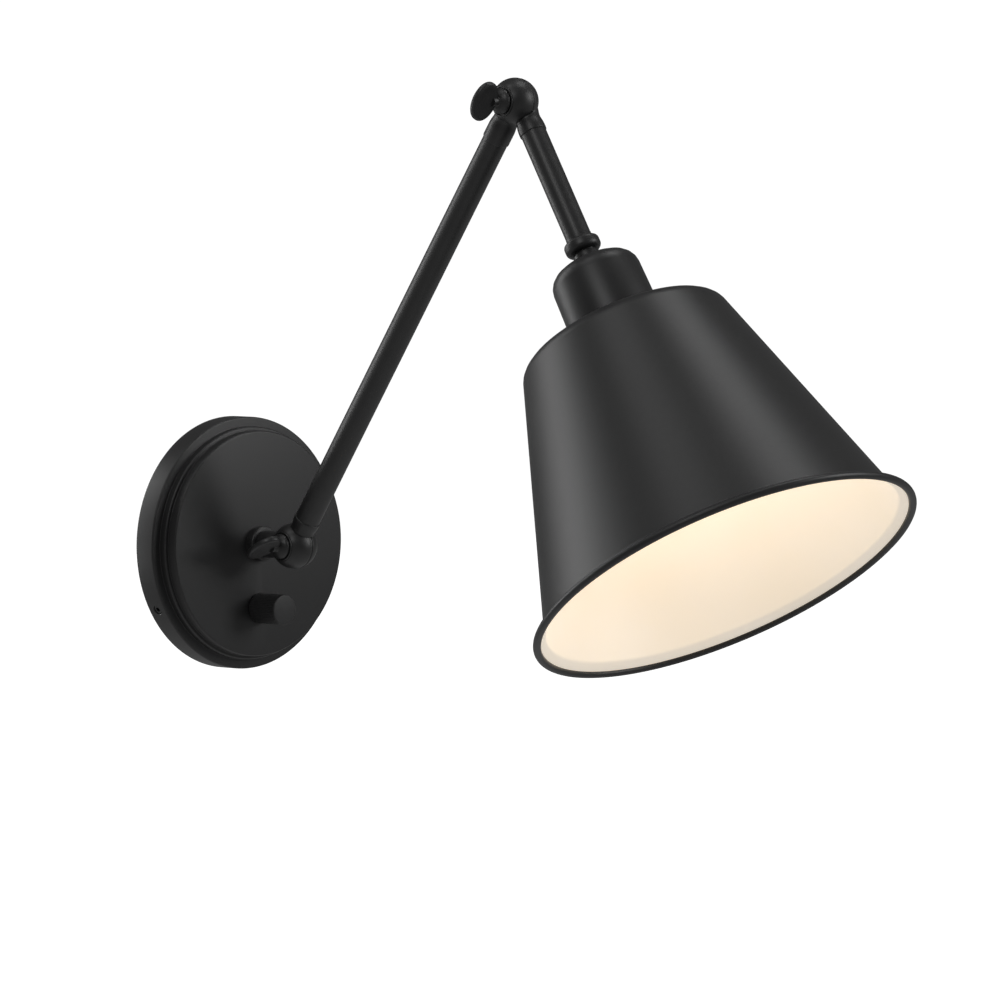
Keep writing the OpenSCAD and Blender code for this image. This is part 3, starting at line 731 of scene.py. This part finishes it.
@dataclass(frozen=True)
class Canopy:
    """The stepped canopy on the wall, with its set screws and the stem's collar."""

    r: float = 63.5
    rim_h: float = 12.0
    step_h: float = 16.0
    h: float = 21.2
    ledge_w: float = 4.9
    step_w: float = 1.9
    edge: float = 0.9
    inner_edge: float = 0.3
    wall: float = 1.3
    stem_hole_r: float = 5.15
    bushing_hole_r: float = 3.65
    dimmer_drop: float = 32.5
    screw_angles: tuple[float, ...] = (90.0, 210.0, 330.0)
    screw_r: float = 2.4
    screw_foot_r: float = 60.0
    screw_sink: float = 0.5
    hole_fit: float = 0.15
    sink_w: float = 0.35
    collar_r: float = 8.8
    collar_l: float = 4.6
    collar_edge: float = 1.0

    def build(self, layout: Layout, finishes: Finishes) -> None:
        """Builds and dresses the canopy's pieces.

        Args:
            layout: the lamp's axes.
            finishes: the lamp's finishes.
        """
        shell = self.shell().piece("canopy_shell", layout.on_wall(), [finishes.satin_black])
        settle(shell, Body.WALL_BASE, Slot.SATIN_BLACK, "canopy")
        screws = self.set_screws().piece("canopy_grub_screws", layout.on_wall(), [finishes.satin_black])
        settle(screws, Body.WALL_BASE, Slot.SATIN_BLACK, "canopy_set_screws")
        collar = self.collar().piece("stem_foot_collar", layout.on_wall(), [finishes.satin_black])
        settle(collar, Body.WALL_BASE, Slot.SATIN_BLACK, "stem_collar")

    def shell(self) -> Form:
        """The spun shell: three steps outside, hollow inside, holes for stem, dimmer and screws."""
        ledge_r = self.r - self.ledge_w
        face_r = ledge_r - self.step_w
        inside = self.wall
        form = Form().turned(
            [
                Corner(self.r, 0),
                Corner(self.r, self.rim_h, self.edge),
                Corner(ledge_r, self.rim_h, self.inner_edge),
                Corner(ledge_r, self.step_h, self.edge),
                Corner(face_r, self.step_h, self.inner_edge),
                Corner(face_r, self.h, self.edge),
                Corner(self.stem_hole_r, self.h),
                Corner(self.stem_hole_r, self.h - inside),
                Corner(face_r - inside, self.h - inside, self.inner_edge),
                Corner(face_r - inside, self.step_h - inside),
                Corner(ledge_r - inside, self.step_h - inside, self.inner_edge),
                Corner(ledge_r - inside, self.rim_h - inside),
                Corner(self.r - inside, self.rim_h - inside, self.inner_edge),
                Corner(self.r - inside, 0),
            ],
            steps=160,
        )
        drill = rod(self.bushing_hole_r, self.h - 2 * inside, self.h + inside)
        form.without(drill.moved(Matrix.Translation((0, -self.dimmer_drop, 0))))
        for angle in self.screw_angles:
            form.without(self.radial(self.drill(), angle))
        return form

    def drill(self) -> Form:
        """The cutter of one set screw's hole, with a small countersink at the canopy's wall."""
        bore = self.screw_r + self.hole_fit
        return Form().turned(
            [
                Corner(0, self.r - 2 * self.wall),
                Corner(bore, self.r - 2 * self.wall),
                Corner(bore, self.r - self.sink_w),
                Corner(bore + 3 * self.sink_w, self.r + 2 * self.sink_w),
                Corner(0, self.r + 2 * self.sink_w),
            ],
            steps=40,
            closed=False,
        )

    def radial(self, form: Form, angle: float) -> Form:
        """Turns a form from local Z to the canopy's side wall at an angle.

        Args:
            form: the form to turn.
            angle: its place round the canopy in degrees.

        Returns:
            The same form.
        """
        lift = Matrix.Translation((0, 0, self.rim_h / 2))
        return form.moved(lift @ Matrix.Rotation(math.radians(angle), 4, "Z") @ Form.HINGE)

    def set_screws(self) -> Form:
        """All set screws, each with a rounded end and a hexagon socket."""
        key_r = 1.35
        key_depth = 1.8
        edge = 0.45
        face = self.r - self.screw_sink
        screws = Form()
        for angle in self.screw_angles:
            screw = Form().turned(
                [Corner(0, self.screw_foot_r), Corner(self.screw_r, self.screw_foot_r), Corner(self.screw_r, face, edge), Corner(0, face)],
                steps=40,
                closed=False,
            )
            screw.without(rod(key_r, face - key_depth, face + key_depth, sides=6))
            self.radial(screw, angle)
            screws.add(screw.bm)
        return screws

    def collar(self) -> Form:
        """The turned collar between canopy and stem."""
        top = self.h + self.collar_l
        return Form().turned(
            [
                Corner(self.stem_hole_r, self.h),
                Corner(self.collar_r, self.h),
                Corner(self.collar_r, top, self.collar_edge),
                Corner(self.stem_hole_r, top),
            ],
            steps=72,
        )


@dataclass(frozen=True)
class DimmerKnob:
    """The ribbed knob on the dimmer's shaft."""

    r: float = 7.6
    start: float = 21.8
    end: float = 40.2
    edge: float = 0.6
    recess_r: float = 6.3
    recess_end: float = 25.8
    ribs: int = 48
    rib_depth: float = 0.22
    skirt: float = 1.2

    def build(self, layout: Layout, finishes: Finishes, drop: float) -> None:
        """Builds and dresses the knob.

        Args:
            layout: the lamp's axes.
            finishes: the lamp's finishes.
            drop: its distance below the canopy's centre.
        """
        place = layout.on_wall() @ Matrix.Translation((0, -drop, 0))
        knob = self.knob().piece("dimmer_ribbed_knob", place, [finishes.knob_black], crease=28)
        settle(knob, Body.DIMMER, Slot.KNOB_BLACK, "dimmer_knob")

    def knob(self) -> Form:
        """The knob's body, with every fourth line of its side pressed in between the ribs."""
        form = Form().turned(
            [
                Corner(self.recess_r, self.start),
                Corner(self.r, self.start, 0.2),
                Corner(self.r, self.start + self.skirt),
                Corner(self.r, self.end - self.edge - self.skirt),
                Corner(self.r, self.end, self.edge),
                Corner(0, self.end),
                Corner(0, self.recess_end),
                Corner(self.recess_r, self.recess_end),
            ],
            steps=self.ribs * 4,
        ).cleaned()
        turn = math.tau / self.ribs
        groove = [
            v
            for v in form.bm.verts
            if self.start + self.skirt / 2 < v.co.z < self.end - self.edge / 2
            and v.co.xy.length > self.r - self.edge / 2
            and abs(math.remainder(math.atan2(v.co.y, v.co.x), turn)) < turn / 8
        ]
        squeeze = 1 - self.rib_depth / self.r
        bmesh.ops.scale(form.bm, vec=(squeeze, squeeze, 1), verts=groove)
        return form


@dataclass(frozen=True)
class Knuckle:
    """A clamped knuckle: two half balls with necks and the thumb screw that clamps them."""

    ball_r: float = 11.5
    ball_steps: int = 24
    swing_room: float = 0.35
    split_low: float = 1.1
    split_high: float = 2.0
    split_edge: float = 0.55
    boss_r: float = 7.4
    boss_out: float = 9.302
    boss_edge: float = 0.45
    recess_r: float = 6.95
    recess_depth: float = 0.7
    neck_r: float = 6.8
    neck_root_r: float = 6.1
    neck_foot: float = 5.0
    neck_edge: float = 0.4
    wing_root: float = 9.402
    wing_collar_r: float = 6.3
    wing_collar_l: float = 3.0
    wing_stem_r: float = 2.6
    paddle_start: float = 13.0
    paddle_l: float = 15.5
    paddle_w: float = 20.5
    paddle_t: float = 3.0
    paddle_edge: float = 1.1
    dish_w: float = 2.0
    dish_depth: float = 0.55

    def ball_part(self, side: Side, r: float, plane: float, edge: float) -> Form:
        """The part of a ball that lies on one side of a plane across the hinge axis.

        Args:
            side: which side is kept.
            r: the ball's radius.
            plane: the plane's place along the hinge axis.
            edge: setback of the rounding where plane and ball meet.

        Returns:
            The part as a form, its hinge axis along X.
        """
        start = math.asin(side.value * plane / r)
        step = (math.pi / 2 - start) / self.ball_steps
        outline = [Corner(0, side.value * plane), Corner(r * math.cos(start), side.value * plane, edge)]
        for index in range(1, self.ball_steps):
            turn = start + index * step
            outline.append(Corner(r * math.cos(turn), r * math.sin(turn)))
        outline.append(Corner(0, r))
        facing = Form.HINGE if side is Side.PLAIN else Form.FLIPPED_HINGE
        return Form().turned(outline, steps=4 * self.ball_steps, closed=False).moved(facing)

    def neck(self, length: float) -> Form:
        """The neck that a half ball carries, flared where it grows out of the ball.

        Args:
            length: distance of its end from the ball's centre.

        Returns:
            The neck about local Z.
        """
        return Form().turned(
            [
                Corner(0, self.neck_foot),
                Corner(self.neck_root_r + 1.2, self.neck_foot),
                Corner(self.neck_root_r, self.ball_r - 0.6, 1.4),
                Corner(self.neck_r, self.ball_r + 3.2, 1.4),
                Corner(self.neck_r, length, self.neck_edge),
                Corner(0, length),
            ],
            steps=72,
            closed=False,
        )

    def boss_half(self, length: float) -> Form:
        """The half ball with the boss that the thumb screw bears on.

        Args:
            length: distance of its neck's end from the ball's centre.

        Returns:
            The half as a form.
        """
        boss = Form().turned(
            [
                Corner(0, self.boss_out - 4),
                Corner(self.boss_r, self.boss_out - 4),
                Corner(self.boss_r, self.boss_out, self.boss_edge),
                Corner(self.recess_r, self.boss_out, 0.12),
                Corner(self.recess_r, self.boss_out - self.recess_depth),
                Corner(0, self.boss_out - self.recess_depth),
            ],
            steps=72,
            closed=False,
        )
        boss.moved(Form.FLIPPED_HINGE)
        cap = rod(self.ball_r, self.boss_out - self.recess_depth, self.ball_r + 1).moved(Form.FLIPPED_HINGE)
        ball = self.ball_part(Side.BOSS, self.ball_r, self.split_low, self.split_edge).without(cap)
        clear = self.ball_part(Side.PLAIN, self.ball_r + self.swing_room, self.split_low, 0.0)
        return ball.joined(boss).joined(self.neck(length).without(clear))

    def plain_half(self, length: float, shift: float = 0.0) -> Form:
        """The half ball that the clamp screw threads into.

        Args:
            length: distance of its neck's end from the ball's centre.
            shift: how far its neck is moved along the hinge axis.

        Returns:
            The half as a form.
        """
        neck = self.neck(length).moved(Matrix.Translation((shift, 0, 0)))
        clear = self.ball_part(Side.BOSS, self.ball_r + self.swing_room, self.split_high, 0.0)
        ball = self.ball_part(Side.PLAIN, self.ball_r, self.split_high, self.split_edge)
        return ball.joined(neck.without(clear))

    def wing(self) -> Form:
        """The thumb screw: a domed collar and a dished oval paddle."""
        root = self.wing_root
        collar = Form().turned(
            [
                Corner(0, root - self.recess_depth),
                Corner(self.wing_collar_r, root - self.recess_depth),
                Corner(self.wing_collar_r, root + 1.2, 0.9),
                Corner(self.wing_stem_r + 1.6, root + self.wing_collar_l, 1.2),
                Corner(self.wing_stem_r, self.paddle_start, 0.6),
                Corner(self.wing_stem_r, self.paddle_start + 3),
                Corner(0, self.paddle_start + 3),
            ],
            steps=64,
            closed=False,
        )
        collar.moved(Form.FLIPPED_HINGE)
        return collar.joined(self.paddle())

    def paddle(self) -> Form:
        """The oval paddle, standing along local Z, with a shallow dish in both faces."""
        form = Form()
        bm = form.bm
        bmesh.ops.create_circle(bm, cap_ends=True, segments=72, radius=1.0)
        bmesh.ops.scale(bm, vec=(self.paddle_l / 2, self.paddle_w / 2, 1), verts=bm.verts[:])
        grown = bmesh.ops.extrude_face_region(bm, geom=bm.faces[:])
        top = [g for g in grown["geom"] if isinstance(g, bmesh.types.BMVert)]
        bmesh.ops.translate(bm, vec=(0, 0, self.paddle_t), verts=top)
        form.cleaned()
        rims = [e for e in bm.edges if abs(e.verts[0].co.z - e.verts[1].co.z) < Form.MERGE]
        bmesh.ops.bevel(
            bm, geom=rims, offset=self.paddle_edge, offset_type="OFFSET", segments=6, profile=0.5, affect="EDGES", material=-1
        )
        flats = [f for f in bm.faces if abs(f.normal.z) > 0.999 and f.calc_area() > self.paddle_w]
        for flat in flats:
            inward = -math.copysign(self.dish_depth, flat.normal.z)
            for width, share in ((0.5, 0.0), (self.dish_w, 0.75), (self.dish_w, 0.25)):
                bmesh.ops.inset_region(bm, faces=[flat], thickness=width, use_even_offset=True)
                bmesh.ops.translate(bm, vec=(0, 0, inward * share), verts=flat.verts[:])
        middle = Matrix.Translation((-self.paddle_start - self.paddle_l / 2, self.paddle_t / 2, 0))
        return form.moved(middle @ Matrix.Rotation(math.radians(90), 4, "X"))


@dataclass(frozen=True)
class Arms:
    """Both arms: tubes, knuckle halves and thumb screws."""

    knuckle: Knuckle = Knuckle()
    tube_r: float = 6.35
    tube_wall: float = 1.0
    tube_seat: float = 14.0
    base_neck_end: float = 17.0
    stem_neck_end: float = 21.6
    stem_thread_r: float = 5.0
    stem_foot: float = 13.2
    elbow_lower_neck_end: float = 23.0
    elbow_upper_neck_end: float = 18.4
    upper_tube_end: float = 76.6

    def build(self, layout: Layout, finishes: Finishes) -> None:
        """Builds and dresses the arms' pieces.

        Args:
            layout: the lamp's axes.
            finishes: the lamp's finishes.
        """
        black = [finishes.satin_black]
        thread = rod(self.stem_thread_r, self.stem_neck_end - 2, layout.base_reach - self.stem_foot)
        fixed = self.knuckle.boss_half(self.stem_neck_end).joined(thread)
        settle(fixed.piece("base_ball_fixed_half", layout.along_stem(), black), Body.WALL_BASE, Slot.SATIN_BLACK, "base_knuckle_fixed")
        moving = self.knuckle.plain_half(self.base_neck_end)
        settle(moving.piece("base_ball_moving_half", layout.along_lower_arm(), black), Body.LOWER_ARM, Slot.SATIN_BLACK, "base_knuckle_moving")
        lower = self.tube(self.tube_seat, layout.lower_arm_l - self.tube_seat)
        settle(lower.piece("lower_arm_tube", layout.along_lower_arm(), black), Body.LOWER_ARM, Slot.SATIN_BLACK, "lower_tube")
        half = self.knuckle.boss_half(self.elbow_lower_neck_end)
        settle(half.piece("elbow_ball_lower_half", layout.back_along_lower_arm(), black), Body.LOWER_ARM, Slot.SATIN_BLACK, "elbow_knuckle_lower")
        half = self.knuckle.plain_half(self.elbow_upper_neck_end, layout.upper_shift)
        settle(half.piece("elbow_ball_upper_half", layout.along_upper_arm(), black), Body.UPPER_ARM, Slot.SATIN_BLACK, "elbow_knuckle_upper")
        upper = self.tube(self.tube_seat, self.upper_tube_end)
        settle(upper.piece("upper_arm_tube", layout.on_upper_axis(), black), Body.UPPER_ARM, Slot.SATIN_BLACK, "upper_tube")
        wing = self.knuckle.wing()
        settle(wing.piece("base_thumb_screw", layout.at_base_wing(), black), Body.BASE_THUMB, Slot.SATIN_BLACK, "base_thumb_wing")
        wing = self.knuckle.wing()
        settle(wing.piece("elbow_thumb_screw", layout.at_elbow_wing(), black), Body.ELBOW_THUMB, Slot.SATIN_BLACK, "elbow_thumb_wing")

    def tube(self, low: float, high: float) -> Form:
        """A tube about local Z between two heights."""
        inner_r = self.tube_r - self.tube_wall
        return Form().turned([Corner(self.tube_r, low), Corner(self.tube_r, high), Corner(inner_r, high), Corner(inner_r, low)], steps=72)


@dataclass(frozen=True)
class Head:
    """The lamp's head on the upper arm's axis: bead, socket cup, lampholder, shade and bulb."""

    start: float = 76.6
    tube_r: float = 6.35
    bead_r: float = 8.95
    bead_foot: float = 9.0
    groove_depth: float = 1.0
    nipple_r: float = 4.55
    cup_start: float = 92.2
    cup_r: float = 22.1
    cup_flare: float = 0.9
    cup_round: float = 8.5
    cup_wall: float = 1.0
    shade_start: float = 131.8
    shade_end: float = 264.2
    shade_hole_r: float = 19.3
    shade_top_r: float = 51.0
    shade_rim_r: float = 92.1
    shade_round: float = 8.5
    shade_wall: float = 1.0
    lip_l: float = 3.7
    rim_bead_r: float = 1.95
    rim_out_r: float = 98.0
    holder_start: float = 100.7
    holder_r: float = 19.0
    holder_end: float = 144.7
    shell_r: float = 13.75
    glass_start: float = 138.7
    glass_end: float = 220.7
    glass_r: float = 30.0
    glass_neck_r: float = 12.8

    def build(self, layout: Layout, finishes: Finishes) -> None:
        """Builds and dresses the head's pieces.

        Args:
            layout: the lamp's axes.
            finishes: the lamp's finishes.
        """
        place = layout.on_upper_axis()
        black = [finishes.satin_black]
        settle(self.bead().piece("turned_neck_bead", place, black), Body.UPPER_ARM, Slot.SATIN_BLACK, "neck_bead")
        settle(self.cup().piece("socket_cup_shell", place, black), Body.UPPER_ARM, Slot.SATIN_BLACK, "socket_cup")
        # Inside the shade the enamel glows: painted bounce light.
        shade = self.shade().piece("shade_shell", place, [finishes.satin_black, finishes.warm_white])
        settle(shade, Body.UPPER_ARM, Slot.SHADE_ENAMEL, "shade")
        holder = self.holder().piece("threaded_lampholder", place, [finishes.phenolic])
        settle(holder, Body.UPPER_ARM, Slot.HOLDER_PHENOLIC, "lampholder")
        bulb = self.bulb().piece("frosted_bulb", place, [finishes.bulb_glass])
        settle(bulb, Body.UPPER_ARM, Slot.BULB_GLASS, "bulb_glass")

    def bead(self) -> Form:
        """The turned bead: a flare, a full bulge, a narrow groove and a short neck."""
        foot = self.start + self.bead_foot
        groove_end = foot + 0.9
        collar_r = self.tube_r + 0.1
        shoulder = self.start + 2.4
        return Form().turned(
            [
                Corner(self.nipple_r, self.start),
                Corner(collar_r, self.start),
                Corner(collar_r, shoulder, 0.4),
                Corner(self.bead_r, shoulder, 2.0),
                Corner(self.bead_r, foot, 2.58),
                Corner(collar_r - self.groove_depth, foot, 0.2),
                Corner(collar_r - self.groove_depth, groove_end, 0.2),
                Corner(collar_r, groove_end, 0.3),
                Corner(collar_r, self.cup_start),
                Corner(self.nipple_r, self.cup_start),
            ],
            steps=72,
        )

    def cup(self) -> Form:
        """The socket cup, open towards the shade."""
        edge = 0.3
        mouth_r = self.cup_r + self.cup_flare
        return Form().turned(
            [
                Corner(self.nipple_r, self.cup_start),
                Corner(self.cup_r, self.cup_start, self.cup_round),
                Corner(mouth_r, self.shade_start, edge),
                Corner(mouth_r - self.cup_wall, self.shade_start, edge),
                Corner(self.cup_r - self.cup_wall, self.cup_start + self.cup_wall, self.cup_round - self.cup_wall),
                Corner(self.nipple_r, self.cup_start + self.cup_wall),
            ],
            steps=96,
        )

    def shade(self) -> Form:
        """The spun shade: black outside and round its rolled bead, warm white inside."""
        slope = (self.shade_rim_r - self.shade_top_r) / (self.shade_end - self.shade_start)
        wall = self.shade_wall * math.hypot(1, slope)
        bead_r = self.rim_bead_r
        bead_round = bead_r - 0.01
        bead_top = self.shade_end - bead_r
        bead_foot = self.shade_end + bead_r
        bead_in_r = self.rim_out_r - 2 * bead_r
        lip_start = self.shade_end - self.lip_l
        lip_r = self.shade_rim_r - slope * self.lip_l
        lip_turn = 0.65 * self.shade_wall
        valley = bead_r / 3
        shoulder = self.shade_round * math.tan((math.pi / 2 - math.atan(slope)) / 2)
        seam = Corner(bead_in_r, self.shade_end - 0.3)
        hole_in = Corner(self.shade_hole_r, self.shade_start + self.shade_wall)
        form = Form().turned(
            [
                hole_in,
                Corner(self.shade_hole_r, self.shade_start),
                Corner(self.shade_top_r, self.shade_start, shoulder),
                Corner(lip_r, lip_start, 1.2),
                Corner(bead_in_r + valley, bead_top + valley, 0.12),
                Corner(bead_in_r + 2 * valley, bead_top + 0.1, 0.4),
                Corner(self.rim_out_r, bead_top, bead_round),
                Corner(self.rim_out_r, bead_foot, bead_round),
                Corner(bead_in_r, bead_foot, bead_round),
                seam,
            ],
            steps=192,
            closed=False,
        )
        top_r = self.shade_top_r - wall + slope * self.shade_wall
        return form.turned(
            [
                seam,
                Corner(lip_r - wall + slope * lip_turn, lip_start + lip_turn, 0.9),
                Corner(top_r, self.shade_start + self.shade_wall, shoulder - self.shade_wall),
                hole_in,
            ],
            steps=192,
            closed=False,
            paint=1,
        )

    def holder(self) -> Form:
        """The lampholder: a plain skirt, a threaded collar and the open mouth."""
        step_r = self.holder_r - 1.5
        thread_start = self.shade_start - 4
        pitch = 2.6
        corners = [Corner(0, self.holder_start), Corner(step_r, self.holder_start, 0.8), Corner(step_r, thread_start)]
        ridge = thread_start
        while ridge + pitch < self.holder_end - 2:
            corners += [Corner(self.holder_r, ridge + 0.2 * pitch, 0.3), Corner(self.holder_r, ridge + 0.6 * pitch, 0.3)]
            corners += [Corner(self.holder_r - 0.7, ridge + 0.8 * pitch, 0.2), Corner(self.holder_r - 0.7, ridge + pitch, 0.2)]
            ridge += pitch
        corners += [
            Corner(step_r, self.holder_end - 2),
            Corner(step_r, self.holder_end, 0.8),
            Corner(self.shell_r, self.holder_end, 0.6),
            Corner(self.shell_r, self.holder_start + 11.5),
            Corner(0, self.holder_start + 11.5),
        ]
        return Form().turned(corners, steps=72, closed=False)

    def bulb(self) -> Form:
        """The bulb's glass: a ball whose open side is drawn up into the neck."""
        form = Form()
        bm = form.bm
        meet = math.radians(35)
        centre = self.glass_end - self.glass_r
        bmesh.ops.create_uvsphere(bm, u_segments=72, v_segments=48, radius=self.glass_r, matrix=Matrix.Translation((0, 0, centre)))
        meet_z = centre - self.glass_r * math.sin(meet)
        everything = bm.verts[:] + bm.edges[:] + bm.faces[:]
        cut = bmesh.ops.bisect_plane(bm, geom=everything, plane_co=(0, 0, meet_z), plane_no=(0, 0, 1), clear_inner=True)
        rim = [g for g in cut["geom_cut"] if isinstance(g, bmesh.types.BMEdge)]
        r = self.glass_r * math.cos(meet)
        drawn = []
        stations = ((21.0, meet_z - 6.0), (17.2, meet_z - 12.0), (14.6, meet_z - 18.0), (13.6, self.glass_start + 9.0), (self.glass_neck_r, self.glass_start))
        z = meet_z
        for next_r, next_z in stations:
            grown = bmesh.ops.extrude_edge_only(bm, edges=rim)
            rim = [g for g in grown["geom"] if isinstance(g, bmesh.types.BMEdge)]
            verts = [g for g in grown["geom"] if isinstance(g, bmesh.types.BMVert)]
            bmesh.ops.scale(bm, vec=(next_r / r, next_r / r, 1), verts=verts)
            bmesh.ops.translate(bm, vec=(0, 0, next_z - z), verts=verts)
            drawn += verts
            r, z = next_r, next_z
        bmesh.ops.smooth_vert(bm, verts=drawn[: -len(verts)], factor=0.3, use_axis_x=True, use_axis_y=True, use_axis_z=True)
        bmesh.ops.contextual_create(bm, geom=rim)
        return form


@dataclass(frozen=True)
class Insides:
    """The CAD nodes that keep their own shape and only get a finish."""

    def build(self, frame: dict, finishes: Finishes) -> None:
        """Dresses the kept CAD nodes.

        Args:
            finishes: the lamp's finishes.
        """
        dressed = {
            "mounting_plate": finishes.zinc,
            "ground_screw": finishes.ground_green,
            "supply_leads": finishes.supply_wire,
            "wire_connectors": finishes.connector,
            "stem_washer": finishes.zinc,
            "stem_nut": finishes.brass,
            "stem_lead": finishes.lead_sheath,
            "base_friction_washer": finishes.nylon,
            "dimmer_module": finishes.dimmer_case,
            "dimmer_nut": finishes.zinc,
            "dimmer_shaft": finishes.zinc,
            "base_clamp_screw": finishes.zinc,
            "lower_lead": finishes.lead_sheath,
            "elbow_friction_washer": finishes.nylon,
            "elbow_clamp_screw": finishes.zinc,
            "upper_lead": finishes.lead_sheath,
            "nipple": finishes.brass,
            "nipple_nut": finishes.brass,
            "terminal_screws": finishes.brass,
            "screw_shell": finishes.brass,
            "centre_contact": finishes.brass,
            "shade_ring": finishes.zinc,
            "bulb_cap": finishes.bulb_cap,
        }
        for node, finish in dressed.items():
            kept = frame["nodes"][node]
            kept.data.materials.clear()
            kept.data.materials.append(finish)
            LOG.info("%s: kept, %s", node, finish.name)


# ---- Studio ----


@dataclass(frozen=True)
class SoftBox:
    """A rectangular studio light aimed at the lamp. Places are metres, its power is in watts."""

    name: str
    place: tuple[float, float, float]
    width: float
    height: float
    power: float
    colour: Colour = (1.0, 1.0, 1.0)

    def build(self, aim: Vector) -> None:
        """Makes the light and points it at a place."""
        data = bpy.data.lights.new(self.name, "AREA")
        data.shape = "RECTANGLE"
        data.size = self.width
        data.size_y = self.height
        data.energy = self.power
        data.color = self.colour
        light = bpy.data.objects.new(self.name, data)
        light.location = self.place
        light.rotation_mode = "QUATERNION"
        light.rotation_quaternion = (aim - light.location).to_track_quat("-Z", "Y")
        bpy.context.scene.collection.objects.link(light)


@dataclass(frozen=True)
class Studio:
    """Floor, surrounding light, soft boxes and the camera. Lengths are metres and angles degrees."""

    floor_drop: float = 2.4
    floor_w: float = 60.0
    aim: tuple[float, float, float] = (0.07420, -0.11848, 0.02286)
    azimuth: float = -44.135
    elevation: float = 3.037
    distance: float = 4.0
    lens: float = 288.0
    sensor: float = 36.0
    surround: float = 0.13
    floor_glow: float = 0.16
    white: float = 1.05

    def build(self) -> None:
        """Makes the whole studio."""
        self.floor()
        self.world()
        aim = Vector((0.0, -0.2, 0.08))
        for box in (
            SoftBox("back_left_strip", (-0.9, 2.0, 0.5), 0.8, 2.4, 23.0),
            SoftBox("front_box", (1.4, -2.0, 0.9), 1.0, 1.3, 20.0),
            SoftBox("high_left_box", (-1.9, -1.1, 1.65), 0.8, 0.8, 11.0),
            SoftBox("top_left_strip", (-0.75, 0.15, 2.0), 0.6, 0.9, 4.2),
            SoftBox("top_right_strip", (0.75, -0.4, 2.2), 0.7, 0.9, 8.0),
        ):
            box.build(aim)
        self.camera()

    def floor(self) -> None:
        """A plain pale floor, well below the lamp."""
        bm = bmesh.new()
        bmesh.ops.create_grid(bm, x_segments=1, y_segments=1, size=self.floor_w / 2, matrix=Matrix.Translation((0, 0, -self.floor_drop)))
        mesh = bpy.data.meshes.new("pale_floor")
        bm.to_mesh(mesh)
        bm.free()
        material, graph, shader = new_material("pale_floor")
        patch = graph.node("ShaderNodeTexNoise", {"Vector": graph.node("ShaderNodeTexCoord").outputs["Object"], "Scale": 0.4})
        tone = graph.blend(patch.outputs["Fac"], (0.93, 0.93, 0.93, 1.0), (0.90, 0.90, 0.90, 1.0))
        graph.tree.links.new(tone, shader.inputs["Base Color"])
        shader.inputs["Roughness"].default_value = 0.8
        shader.inputs["Emission Color"].default_value = (1.0, 1.0, 1.0, 1.0)
        seen = graph.node("ShaderNodeLightPath").outputs["Is Camera Ray"]
        graph.tree.links.new(graph.spread(seen, self.floor_glow, self.white), shader.inputs["Emission Strength"])
        mesh.materials.append(material)
        floor = bpy.data.objects.new("pale_floor", mesh)
        bpy.context.scene.collection.objects.link(floor)

    def world(self) -> None:
        """White all round for the eye, softer as a light."""
        world = bpy.data.worlds.new("studio")
        bpy.context.scene.world = world
        world.use_nodes = True
        graph = Graph(world.node_tree)
        world.node_tree.nodes.clear()
        seen = graph.node("ShaderNodeLightPath").outputs["Is Camera Ray"]
        strength = graph.spread(seen, self.surround, self.white)
        back = graph.node("ShaderNodeBackground", {"Color": (1.0, 1.0, 1.0, 1.0), "Strength": strength})
        graph.node("ShaderNodeOutputWorld", {"Surface": back.outputs[0]})
        bpy.context.scene.view_settings.view_transform = "Standard"

    def camera(self) -> None:
        """The camera, level and without shift."""
        data = bpy.data.cameras.new("camera")
        data.lens = self.lens
        data.sensor_width = self.sensor
        data.clip_start = 0.1
        data.clip_end = 200.0
        camera = bpy.data.objects.new("camera", data)
        turn, tilt = math.radians(self.azimuth), math.radians(self.elevation)
        back = Vector((math.sin(turn) * math.cos(tilt), -math.cos(turn) * math.cos(tilt), math.sin(tilt)))
        camera.location = Vector(self.aim) + back * self.distance
        camera.rotation_mode = "QUATERNION"
        camera.rotation_quaternion = (-back).to_track_quat("-Z", "Y")
        bpy.context.scene.collection.objects.link(camera)
        bpy.context.scene.camera = camera


def main() -> None:
    """Builds the lamp's looks round its frame, then the studio."""
    logging.basicConfig(level=logging.INFO, format="%(name)s %(message)s")
    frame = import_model()
    layout = Layout()
    finishes = Finishes.make()
    canopy = Canopy()
    canopy.build(layout, finishes)
    DimmerKnob().build(layout, finishes, canopy.dimmer_drop)
    Arms().build(layout, finishes)
    Head().build(layout, finishes)
    Insides().build(frame, finishes)
    Studio().build()


if __name__ == "__main__":
    main()
